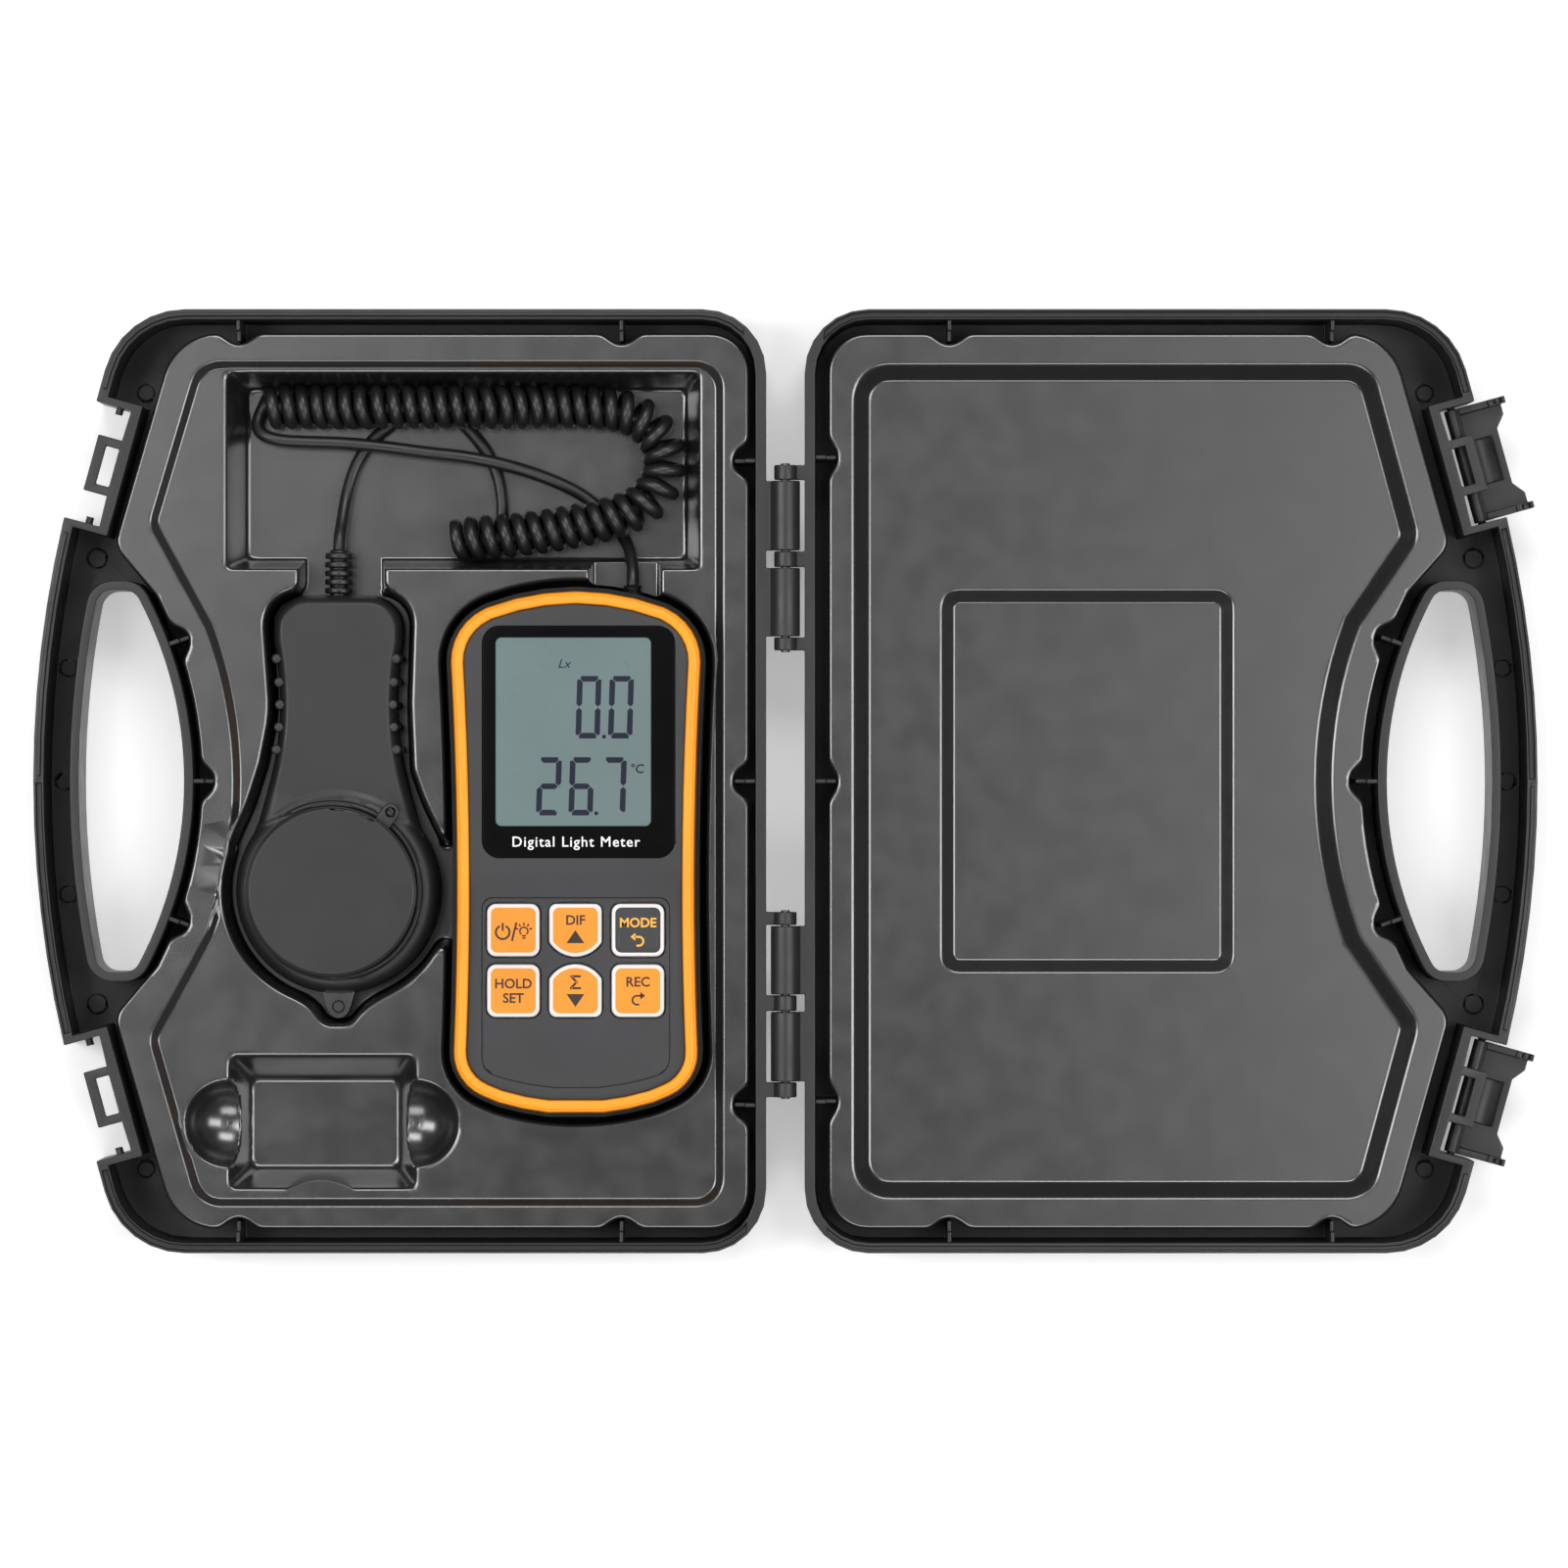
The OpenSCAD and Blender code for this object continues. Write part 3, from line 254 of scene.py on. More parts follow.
def prism(name, body, finish, outlines, low, high, soft=0.0):
    """Upright prisms from outlines in millimetres, as one piece, with top edges rounded by soft."""
    shape = bmesh.new()
    for outline in outlines:
        if sum(a[0] * b[1] - a[1] * b[0] for a, b in zip(outline, list(outline[1:]) + [outline[0]])) < 0:
            outline = outline[::-1]
        bottom = [shape.verts.new((x * MM, y * MM, low * MM)) for x, y in outline]
        top = [shape.verts.new((x * MM, y * MM, high * MM)) for x, y in outline]
        shape.faces.new(top)
        shape.faces.new(bottom[::-1])
        for k in range(len(outline)):
            m = (k + 1) % len(outline)
            shape.faces.new((bottom[k], bottom[m], top[m], top[k]))
    data = bpy.data.meshes.new(name)
    shape.to_mesh(data)
    shape.free()
    data.shade_smooth()
    piece = put(bpy.data.objects.new(name, data), body, finish)
    if soft:
        bevelled(piece, soft, 3, 50)
    weighted(piece)
    return piece


RING_BEVEL = 0.15               # on the display window's frame


def ring_piece(name, body, finish, outer, inner, low, high):
    """A flat frame between two outlines with the same number of points."""
    count = len(outer)
    levels = [(outer, low), (outer, high), (inner, high), (inner, low)]
    vertices = [(x * MM, y * MM, z * MM) for outline, z in levels for x, y in outline]
    faces = []
    for k in range(4):
        a, b = k * count, ((k + 1) % 4) * count
        faces += [(a + i, a + (i + 1) % count, b + (i + 1) % count, b + i) for i in range(count)]
    piece = mesh_piece(name, body, finish, vertices, faces)
    bevelled(piece, RING_BEVEL, 2, 40)
    weighted(piece)
    return piece


def lathe(name, body, finish, profile, at, steps=24):
    """A turned piece about an upright axis, from (radius, height) points in millimetres."""
    turns = [2 * math.pi * k / steps for k in range(steps)]
    vertices = [((at[0] + r * math.cos(a)) * MM, (at[1] + r * math.sin(a)) * MM, z * MM)
        for r, z in profile for a in turns]
    rows = [list(range(i * steps, (i + 1) * steps)) for i in range(len(profile))]
    faces = [(low[k], low[(k + 1) % steps], high[(k + 1) % steps], high[k])
        for low, high in zip(rows, rows[1:]) for k in range(steps)]
    return mesh_piece(name, body, finish, vertices, faces)


BODIES = frame["record"]["behaviour"]["bodies"]
BODY_OF = {node: body for body, nodes in BODIES.items() for node in nodes}
FINISH_OF = {s["node"]: s["material_slot"] for s in frame["record"]["subparts"]}


# ---- The cord: from the meter's gland, round the pocket, through its coil, to the sensor head ----

WIRE_D = 3.7
COIL_D = 13.0
COIL_PITCH = 4.4
TURN_POINTS = 18
TURN_GAP = 0.15                 # smallest gap between two turns on the inside of a bend
LEAD_STEP = 1.5                 # between the points of a straight lead
CORD_STEP = 1.3                 # between the points of the finished line
CORE_STEP = 0.25                # between the points of the coil's middle line
CORE_ROUNDS = 60                # rounds of easing of the coil's middle line
EASE_REACH = 12                 # how far from a join the path is eased
EASE_ROUNDS = 16

meter_route = [(-43.6, 55.8, 14), (-43.6, 59, 13.4), (-44, 63, 11), (-45.2, 67.4, 7.8), (-48, 72.5, 5.7),
    (-52.5, 77.5, 5.4), (-60, 83, 5.6), (-70, 87.4, 6.8), (-80, 90.4, 8.8), (-91, 92.6, 9.6),
    (-103, 94, 9.6), (-115, 95.6, 9.6), (-126, 96.6, 9.6), (-137, 97, 9.8), (-144, 97.4, 10),
    (-149.2, 98.8, 9.6), (-152, 101, 8.2), (-152, 103.4, 6.6), (-150.2, 105.2, 5.6)]
coil_route = [(-148.6, 106.8, 10.1), (-134, 106.8, 10.2), (-124, 106.8, 12.2), (-116, 106.8, 13.8),
    (-100, 106.8, 14), (-86, 106.8, 13.8), (-76, 106.8, 12), (-66, 106.8, 10.2), (-52, 106.4, 10.1),
    (-43, 104.4, 10.1), (-36.8, 99.2, 10.3), (-34.4, 92.4, 11), (-35.8, 84.8, 12.2), (-40.6, 79, 13.6),
    (-48, 75.6, 14), (-60, 72.8, 14), (-74, 70.6, 14), (-86, 69.6, 13.8), (-95, 69, 12)]
sensor_route = [(-95, 66.6, 6.4), (-93, 65.6, 5.6), (-89.4, 65.4, 5.4), (-85.6, 66.6, 5.4),
    (-82.8, 69.8, 5.4), (-81.4, 74, 5.4), (-81.2, 80, 5.4), (-82.4, 87, 5.4),
    (-85.4, 94, 5.4), (-91, 101, 5.4), (-96.4, 105.8, 5.4), (-102, 107.4, 5.4),
    (-107.6, 105.6, 5.4), (-113, 102, 5.4), (-118.6, 97, 5.4), (-123, 90, 5.5),
    (-125.6, 81.6, 6.4), (-126.8, 74, 9), (-127.4, 69.4, 11.4), (-127.5, 66, 12)]


def smooth_path(route, step):
    """Points about step apart on a smooth curve through the route's own points."""
    points = [np.array(p, float) for p in route]
    ends = [2 * points[0] - points[1]] + points + [2 * points[-1] - points[-2]]
    out = []
    for p0, p1, p2, p3 in zip(ends, ends[1:], ends[2:], ends[3:]):
        count = max(2, round(float(np.linalg.norm(p2 - p1)) / step))
        for t in np.arange(count) / count:
            out.append(0.5 * (2 * p1 + (p2 - p0) * t + (2 * p0 - 5 * p1 + 4 * p2 - p3) * t * t
                + (3 * p1 - p0 - 3 * p2 + p3) * t ** 3))
    out.append(points[-1])
    return np.array(out)


def along(path, count):
    """The path again, as count points evenly spaced along it."""
    run = np.concatenate([[0], np.cumsum(np.linalg.norm(np.diff(path, axis=0), axis=1))])
    even = np.linspace(0, run[-1], count)
    return np.stack([np.interp(even, run, path[:, k]) for k in range(3)], axis=1)


def coil_core(route):
    """The coil's eased middle line, its headings, its step and how sharply it bends."""
    line = smooth_path(route, 1.0)
    length = np.linalg.norm(np.diff(line, axis=0), axis=1).sum()
    line = along(line, round(length / CORE_STEP))
    for _ in range(CORE_ROUNDS):
        line[1:-1] += 0.5 * ((line[:-2] + line[2:]) / 2 - line[1:-1])
    step = length / (len(line) - 1)
    heading = np.gradient(line, axis=0)
    heading /= np.linalg.norm(heading, axis=1)[:, None]
    bend = np.linalg.norm(np.gradient(heading, axis=0), axis=1) / step
    bend = np.convolve(np.pad(bend, 20, mode="edge"), np.ones(41) / 41, mode="valid")
    return line, heading, step, bend


def curled(route):
    """The helix that the cord makes round the route, from its bottom to its bottom again."""
    line, heading, step, bend = coil_core(route)
    radius = (COIL_D - WIRE_D) / 2
    pitch = np.maximum(COIL_PITCH, (WIRE_D + TURN_GAP) / (1 - radius * bend))
    turns = np.concatenate([[0], np.cumsum(step / ((pitch[1:] + pitch[:-1]) / 2))])
    whole = round(turns[-1])
    turns *= whole / turns[-1]
    count = whole * TURN_POINTS + 1
    place = np.interp(np.linspace(0, whole, count), turns, np.arange(len(line)))
    at, way = [np.stack([np.interp(place, np.arange(len(line)), values[:, k]) for k in range(3)], axis=1)
        for values in (line, heading)]
    way /= np.linalg.norm(way, axis=1)[:, None]
    across = np.cross([0, 0, 1], way)
    across /= np.linalg.norm(across, axis=1)[:, None]
    up = np.cross(way, across)
    turn = 2 * math.pi * np.arange(count) / TURN_POINTS - math.pi / 2
    return at + radius * (np.cos(turn)[:, None] * across + np.sin(turn)[:, None] * up)


def joined(parts, step):
    """One evenly stepped path through all the parts, eased where they meet."""
    line = np.concatenate(parts)
    run = np.concatenate([[0], np.cumsum(np.linalg.norm(np.diff(line, axis=0), axis=1))])
    meets = [run[len(parts[0]) - 1] + 1, run[len(parts[0]) + len(parts[1]) - 1] + 1]
    count = round(run[-1] / step)
    line = along(line, count)
    place = np.linspace(0, run[-1], count)
    near = np.min([np.abs(place - m) for m in meets], axis=0)
    weight = np.clip(1 - near / EASE_REACH, 0, 1)[1:-1, None] * 0.9
    for _ in range(EASE_ROUNDS):
        line[1:-1] += weight * ((line[:-2] + line[2:]) / 2 - line[1:-1])
    return line


cord_line = joined([smooth_path(meter_route, LEAD_STEP), curled(coil_route),
    smooth_path(sensor_route, LEAD_STEP)], CORD_STEP)


def make_cord():
    """The whole cord as one tube, in place of its three plain nodes."""
    data = bpy.data.curves.new("cord", "CURVE")
    data.dimensions = "3D"
    data.bevel_depth = WIRE_D / 2 * MM
    data.bevel_resolution = 3
    data.use_fill_caps = True
    spline = data.splines.new("POLY")
    spline.points.add(len(cord_line) - 1)
    for point, place in zip(spline.points, cord_line):
        point.co = (*(place * MM), 1)
    spline.use_smooth = True
    piece = put(bpy.data.objects.new("curly_cord", data), "instrument", "cord_black")
    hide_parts("cord_meter_lead", "cord_coil", "cord_sensor_lead")


make_cord()


# ---- Outlines, in millimetres ----

def fillet(a, p, b, radius, steps):
    """An arc of that radius in the corner at p, between its neighbours a and b."""
    u = (a - p) / np.linalg.norm(a - p)
    v = (b - p) / np.linalg.norm(b - p)
    half = math.acos(max(-1, min(1, float(u @ v)))) / 2
    middle = (u + v) / np.linalg.norm(u + v)
    centre = p + middle * radius / math.sin(half)
    start = p + u * radius / math.tan(half) - centre
    end = p + v * radius / math.tan(half) - centre
    first = math.atan2(start[1], start[0])
    turn = (math.atan2(end[1], end[0]) - first + 3 * math.pi) % (2 * math.pi) - math.pi
    angles = [first + turn * i / steps for i in range(steps + 1)]
    return [centre + radius * np.array([math.cos(a), math.sin(a)]) for a in angles]


def rounded(points, steps=8):
    """A closed outline whose corners (x, y, radius) are rounded."""
    out = []
    for i, corner in enumerate(points):
        place = np.array(corner[:2], float)
        if len(corner) < 3 or corner[2] == 0:
            out.append(place)
            continue
        before = np.array(points[i - 1][:2], float)
        after = np.array(points[(i + 1) % len(points)][:2], float)
        out += fillet(before, place, after, corner[2], steps)
    return np.array(out)


def arc(cx, radius, first, last, steps):
    """Points on a circle about (cx, 0), between two angles in degrees."""
    angles = [math.radians(first + (last - first) * i / steps) for i in range(steps + 1)]
    return [(cx + radius * math.cos(a), radius * math.sin(a)) for a in angles]


def left_and_right(points):
    """The points, then their mirror images in reverse order."""
    return points + [(-p[0], *p[1:]) for p in reversed(points)]


def box_outline(width, height, radius, cx=0.0, cy=0.0, steps=6):
    """A rectangle with rounded corners."""
    w, h = width / 2, height / 2
    corners = [(w, h), (-w, h), (-w, -h), (w, -h)]
    return rounded([(cx + x, cy + y, radius) for x, y in corners], steps)


METER_AT = np.array([-59.4, -20.3])
SENSOR_AT = np.array([-127.5, -31.3])
TOP_ARC, BOTTOM_ARC = 71, 75    # radii of the meter's rounded ends
TOP_Y, BOTTOM_Y = 74.3, -74.2
WAIST, WAIST_Y = 33.8, -9.7     # the meter's smallest half-width and where it is
WAIST_FLARE = 2300


def top_y(x):
    """The meter's top edge."""
    return TOP_Y - TOP_ARC + math.sqrt(TOP_ARC ** 2 - x * x)


def bottom_y(x):
    """The meter's bottom edge."""
    return BOTTOM_Y + BOTTOM_ARC - math.sqrt(BOTTOM_ARC ** 2 - x * x)


def side_x(y):
    """The meter's side, as a half-width."""
    return WAIST + (y - WAIST_Y) ** 2 / WAIST_FLARE


meter_outline = rounded(left_and_right([(x, bottom_y(x)) for x in range(1, 23, 3)]
    + [(35.2, bottom_y(35.2), 13.5)] + [(side_x(y), y) for y in range(-54, 55, 6)]
    + [(35.7, top_y(35.7), 16.5)] + [(x, top_y(x)) for x in range(25, 0, -3)])) + METER_AT

GRIP_X = -281.7                 # centre of the arcs beside the handle
base_lip = rounded([(-17.6, 119.5, 8), (-167.2, 119.5, 9), (-181, 73, 7)]
    + arc(GRIP_X, 124.6, 20.5, -20.5, 16) + [(-181, -73, 7), (-167.2, -120.9, 9), (-17.6, -120.9, 8)])
lid_lip = rounded([(-19.5, 118.4, 10), (-166.6, 118.4, 9), (-180, 69, 8)]
    + arc(GRIP_X, 126.5, 20.5, -20.5, 16) + [(-180, -69, 8), (-166.6, -118.4, 9), (-19.5, -118.4, 10)])
base_flange = rounded([(-10.3, 127.3, 11), (-173.3, 127.3, 16), (-190.9, 66.8, 7)]
    + arc(GRIP_X, 115.5, 27, -27, 18) + [(-190.9, -66.8, 7), (-173.3, -127.3, 16), (-10.3, -127.3, 11)])
lid_flange = rounded([(-12.2, 127.3, 11), (-172, 127.3, 16), (-189, 66.8, 7)]
    + arc(GRIP_X, 117.5, 27, -27, 18) + [(-189, -66.8, 7), (-172, -127.3, 16), (-12.2, -127.3, 11)])


NOTCH_R = 4.2


def tray_notches(grip_r):
    """Centres of the notches in a tray's flange, one for each rib of the shell."""
    turns = [math.radians(20.08 * k) for k in (-1, 0, 1)]
    long_sides = [(x, side * 128.5) for x in (-155.4, -46.6) for side in (-1, 1)]
    hinge_side = [(-10.5, y) for y in (91, 0, -92)]
    grip_side = [(GRIP_X + grip_r * math.cos(t), grip_r * math.sin(t)) for t in turns]
    return long_sides + hinge_side + grip_side


neck_pocket = rounded([(-138.5, 66), (-138.5, 54.5, 3), (-149, 53, 10), (-146.6, 20, 40), (-149.5, 5, 20),
    (-156.8, -18), (-128, -31), (-98.6, -17), (-105.8, 3, 10), (-106.6, 22, 40), (-105.6, 53, 10),
    (-114, 54.5, 3), (-114, 66)])
tab_pocket = rounded([(-140, -54), (-131.8, -69.4, 5), (-123.6, -69.4, 5), (-113, -54)])


# ---- Fields: how far a point lies inside a shape, in millimetres ----

CHUNK = 8192                    # points taken at a time, to spare memory


def polygon_depth(outline):
    """The field of a closed outline."""
    start = np.asarray(outline)
    step = np.roll(start, -1, 0) - start
    length2 = (step ** 2).sum(1)

    def depth(points):
        out = np.empty(len(points))
        for first in range(0, len(points), CHUNK):
            part = points[first:first + CHUNK]
            rel = part[:, None] - start
            t = np.clip((rel * step).sum(-1) / length2, 0, 1)
            gap = np.sqrt(((rel - t[..., None] * step) ** 2).sum(-1).min(1))
            below = start[:, 1] <= part[:, None, 1]
            below_next = np.roll(start, -1, 0)[:, 1] <= part[:, None, 1]
            left = rel[..., 0] * step[:, 1] < rel[..., 1] * step[:, 0]
            hits = (below != below_next) & (left == (step[:, 1] > 0))
            out[first:first + CHUNK] = np.where(hits.sum(1) % 2 == 1, gap, -gap)
        return out
    return depth


def circle_depth(centre, radius):
    """The field of a circle."""
    return lambda points: radius - np.linalg.norm(points - np.array(centre), axis=1)


def blend_low(a, b, soft):
    """The lower of two fields, eased over soft millimetres where they are close."""
    h = np.maximum(soft - np.abs(a - b), 0) / soft
    return np.minimum(a, b) - h * h * soft / 4


def common(fields, soft):
    """What lies inside all the shapes."""
    def depth(points):
        out = fields[0](points)
        for field in fields[1:]:
            out = blend_low(out, field(points), soft)
        return out
    return depth


def either(fields, soft):
    """What lies inside any of the shapes."""
    def depth(points):
        out = -fields[0](points)
        for field in fields[1:]:
            out = blend_low(out, -field(points), soft)
        return -out
    return depth


def outside(field):
    """What lies outside a shape."""
    return lambda points: -field(points)


def sloped_box(lip, floor, soft):
    """Depth inside a rectangle whose walls slope by different amounts, scaled to their mean width."""
    runs = [floor[0] - lip[0], floor[1] - lip[1], lip[2] - floor[2], lip[3] - floor[3]]
    mean = sum(runs) / 4

    def depth(points):
        sides = [points[:, 0] - lip[0], points[:, 1] - lip[1], lip[2] - points[:, 0], lip[3] - points[:, 1]]
        out = sides[0] * mean / runs[0]
        for side, run in list(zip(sides, runs))[1:]:
            out = blend_low(out, side * mean / run, soft)
        return out
    return depth, mean


MARGIN = 0.5                    # level strip that keeps the flats beside a wall flat in the shading


def wall(top, bottom, run, top_r=0.9, bottom_r=0.9, steps=4, spans=3):
    """A wall's section as (depth inside, height): margin, round lip, slope, round foot and margin."""
    slope = math.atan2(top - bottom, run)
    ease = math.tan(slope / 2)
    angles = [slope * i / steps for i in range(steps + 1)]
    lip = [(top_r * (math.sin(a) - ease), top - top_r * (1 - math.cos(a))) for a in angles]
    foot = [(run - bottom_r * (math.sin(a) - ease), bottom + bottom_r * (1 - math.cos(a))) for a in angles]
    last, first = np.array(lip[-1]), np.array(foot[-1])
    middle = [tuple(last + (first - last) * i / spans) for i in range(1, spans)]
    before = (-MARGIN - top_r * ease, top)
    after = (run + MARGIN + bottom_r * ease, bottom)
    return [before] + lip + middle + foot[::-1] + [after]


# ---- Rings: a field's contours as closed loops ----

GRIDS = {}
SHORTEST_LOOP = 8               # crossings in a loop that is still kept


def sampled(field, low, high, step):
    """The field's values on a grid over the box, with the grid's own x and y places."""
    xs = np.arange(low[0], high[0] + step, step)
    ys = np.arange(low[1], high[1] + step, step)
    key = (id(field), tuple(low), tuple(high), step)   # a freed field's id can come back
    if key not in GRIDS:
        grid_points = np.stack(np.meshgrid(xs, ys, indexing="ij"), -1).reshape(-1, 2)
        GRIDS[key] = field(grid_points).reshape(len(xs), len(ys))
    return xs, ys, GRIDS[key]


def crossing_links(inside):
    """For each grid edge (i, j, along x) that the contour crosses, the edges that it goes on to."""
    links = {}
    mixed = inside[:-1, :-1].astype(int) + inside[1:, :-1] + inside[:-1, 1:] + inside[1:, 1:]
    for i, j in zip(*np.nonzero((mixed > 0) & (mixed < 4))):
        corners = [inside[i, j], inside[i + 1, j], inside[i + 1, j + 1], inside[i, j + 1]]
        edges = [(i, j, True), (i + 1, j, False), (i, j + 1, True), (i, j, False)]
        cut = [e for e, a, b in zip(edges, corners, corners[1:] + corners[:1]) if a != b]
        for a, b in zip(cut[::2], cut[1::2]):
            links.setdefault(a, []).append(b)
            links.setdefault(b, []).append(a)
    return links


def next_loop(links):
    """Takes one closed loop of grid edges out of the links."""
    first = next(iter(links))
    loop, here = [first], first
    while True:
        before = loop[-2] if len(loop) > 1 else None
        onward = [n for n in links.get(here, []) if n in links and n != before]
        if not onward or onward[0] == first:
            break
        here = onward[0]
        loop.append(here)
    for edge in loop:
        links.pop(edge, None)
    return loop


def contour(field, low, high, step, level):
    """Closed loops where the field has that level, inside the box low..high."""
    xs, ys, grid = sampled(field, low, high, step)
    value = grid - level
    value[value == 0] = 1e-9
    links = crossing_links(value > 0)

    def crossing(i, j, along_x):
        k, m = (i + 1, j) if along_x else (i, j + 1)
        t = value[i, j] / (value[i, j] - value[k, m])
        return (xs[i] + t * (xs[k] - xs[i]), ys[j] + t * (ys[m] - ys[j]))

    loops = []
    while links:
        loop = next_loop(links)
        if len(loop) > SHORTEST_LOOP:
            loops.append(np.array([crossing(*edge) for edge in loop]))
    return loops


def thinned(loop, tolerance=0.02, longest=7.0):
    """The loop with fewer points where it is nearly straight."""
    keep = [0]
    at = 0
    while at < len(loop) - 1:
        ahead = at + 1
        while ahead + 1 < len(loop):
            chord = loop[ahead + 1] - loop[at]
            size = np.linalg.norm(chord)
            between = loop[at + 1:ahead + 1] - loop[at]
            off = np.abs(between[:, 0] * chord[1] - between[:, 1] * chord[0]) / max(size, 1e-9)
            if size > longest or off.max() > tolerance:
                break
            ahead += 1
        keep.append(ahead)
        at = ahead
    return loop[keep[:-1]] if keep[-1] == len(loop) - 1 and len(keep) > 4 else loop[keep]


# ---- Trays: one formed sheet each, with soft lips and sloped walls ----

SHEET_T = 0.9
FLANGE_Z, PLATEAU_Z, POCKET_Z = 26.0, 24.0, 3.4
RECESS_Z, SMALL_Z = 20.0, 17.0
TRAY_EDGE = [(0.0, FLANGE_Z - 0.9), (0.12, FLANGE_Z - 0.5), (0.4, FLANGE_Z - 0.15), (0.9, FLANGE_Z),
    (1.5, FLANGE_Z)]            # the flange's edge as (depth inside, height)
EDGE_STEP = 0.7                 # grid step for a piece's outer edge


def ring_mesh(edge, edge_section, features, box):
    """A triangle mesh inside the edge, with rings of points along every level of the sections."""
    rim = thinned(max(contour(edge, *box, EDGE_STEP, 0.0), key=len))
    points = [tuple(p) for p in rim]
    border = list(range(len(points)))
    edges = []
    for field, section, (low, high), step in [(edge, edge_section[1:], box, EDGE_STEP)] + features:
        for depth, _ in section:
            for loop in contour(field, low, high, step, depth):
                loop = thinned(loop)
                first = len(points)
                points += [tuple(p) for p in loop]
                edges += [(first + k, first + (k + 1) % len(loop)) for k in range(len(loop))]
    places = [Vector(p) for p in points]
    flat, _, faces = geometry.delaunay_2d_cdt(places, edges, [border], 1, 1e-5, False)[:3]
    flat = np.array([tuple(p) for p in flat])
    centres = flat[np.array(faces)].mean(axis=1)
    return flat, [f for f, depth in zip(faces, edge(centres)) if depth > 0]


def relief_piece(name, body, finish, features, edge, edge_section, box, mirror=False, thickness=SHEET_T):
    """A formed skin inside an edge, from features (field, section, box, step): its height is their lowest."""
    flat, faces = ring_mesh(edge, edge_section, features, box)
    height = np.interp(edge(flat), *zip(*edge_section))
    for field, section, _, _ in features:
        depth = field(flat)
        level = np.interp(depth, *zip(*section))
        height = np.where(depth <= section[0][0], height, np.minimum(height, level))
    vertices = np.column_stack([flat * (-1 if mirror else 1), height]) * MM
    piece = mesh_piece(name, body, finish, vertices, faces)
    for face in piece.data.polygons:
        face.use_smooth = len({round(height[v], 4) for v in face.vertices}) > 1     # level parts stay flat
    sheet = piece.modifiers.new("sheet", "SOLIDIFY")
    sheet.thickness = thickness * MM
    sheet.offset = -1
    return piece


def tray_edge(line, grip_r):
    """What lies inside a tray's flange, less its notches."""
    return common([polygon_depth(line)] + [
        outside(circle_depth(c, NOTCH_R)) for c in tray_notches(grip_r)], 3.0)


whole = ((-196, -132), (-6, 132))
lip_field = polygon_depth(base_lip)
cord_field, cord_run = sloped_box((-158.9, 60.4, -24.5, 116.2), (-154.2, 63.4, -28.3, 112.4), 2.5)
cell_box, cell_run = sloped_box((-158.2, -115.8, -105.2, -78.2), (-153.1, -110.7, -110.3, -85.1), 3.0)
bulge = circle_depth((-132.3, -129.8), 16.4)
cell_field = common([cell_box, lambda p: -5 * bulge(p)], 3.0)       # steep, so that only the lip bulges
METER_ROOM = 3.1                # gap round the meter
meter_depth = polygon_depth(meter_outline)
sensor_pocket = either([polygon_depth(neck_pocket), circle_depth(SENSOR_AT, 32.6),
    polygon_depth(tab_pocket)], 4.0)
link = polygon_depth(box_outline(12, 28, 1, -100, -32))
nest = either([lambda p: meter_depth(p) + METER_ROOM, sensor_pocket, link], 3.0)
channel = polygon_depth(box_outline(20.6, 16, 1.5, -45.6, 56))
SCOOP_R = 12.0


def scoop_section():
    """A spherical hollow, by depth inside its circle."""
    angles = [math.radians(a) for a in range(8, 91, 6)]
    return [(-1.5, PLATEAU_Z), (-0.7, PLATEAU_Z), (0.0, PLATEAU_Z - 0.35)] + [
        (SCOOP_R * (1 - math.cos(a)), PLATEAU_Z - SCOOP_R * math.sin(a)) for a in angles]


# Features: (field, wall section, box to search, grid step).
base_features = [
    (lip_field, wall(FLANGE_Z, PLATEAU_Z, 2.2, 1.1, 0.9), whole, 0.7),
    (cord_field, wall(PLATEAU_Z, POCKET_Z, cord_run, 1.1, 1.2), ((-163, 56), (-19, 120)), 0.5),
    (cell_field, wall(PLATEAU_Z, POCKET_Z, cell_run, 1.2, 1.5, spans=5),
        ((-163, -120), (-100, -74)), 0.5),
    (nest, wall(PLATEAU_Z, POCKET_Z, 1.2, 1.1, 0.7, spans=5), ((-165, -102), (-15, 68)), 0.6),
    (channel, wall(PLATEAU_Z, 8.8, 1.0, 0.8, 0.7), ((-58, 46), (-33, 67)), 0.4),
] + [(circle_depth((x, -97.4), SCOOP_R), scoop_section(), ((x - 14, -112), (x + 14, -83)), 0.5)
    for x in (-158.5, -105.3)]
lid_features = [
    (polygon_depth(lid_lip), wall(FLANGE_Z, RECESS_Z, 4.2, 1.6, 1.3), whole, 0.7),
    (polygon_depth(box_outline(83.2, 109, 5, -86, 0)), wall(RECESS_Z, SMALL_Z, 3.6, 1.3, 1.1),
        ((-130, -56), (-42, 56)), 0.7),
]
base_sheet = relief_piece("base_tray_sheet", "case_base", "tray_charcoal", base_features,
    tray_edge(base_flange, 115.0), TRAY_EDGE, whole)
lid_sheet = relief_piece("lid_tray_sheet", "lid", "tray_charcoal", lid_features,
    tray_edge(lid_flange, 117.0), TRAY_EDGE, whole, mirror=True)
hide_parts("base_tray")
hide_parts("lid_tray")


# ---- Sensor head: its rounded top, grip pins and tab ----

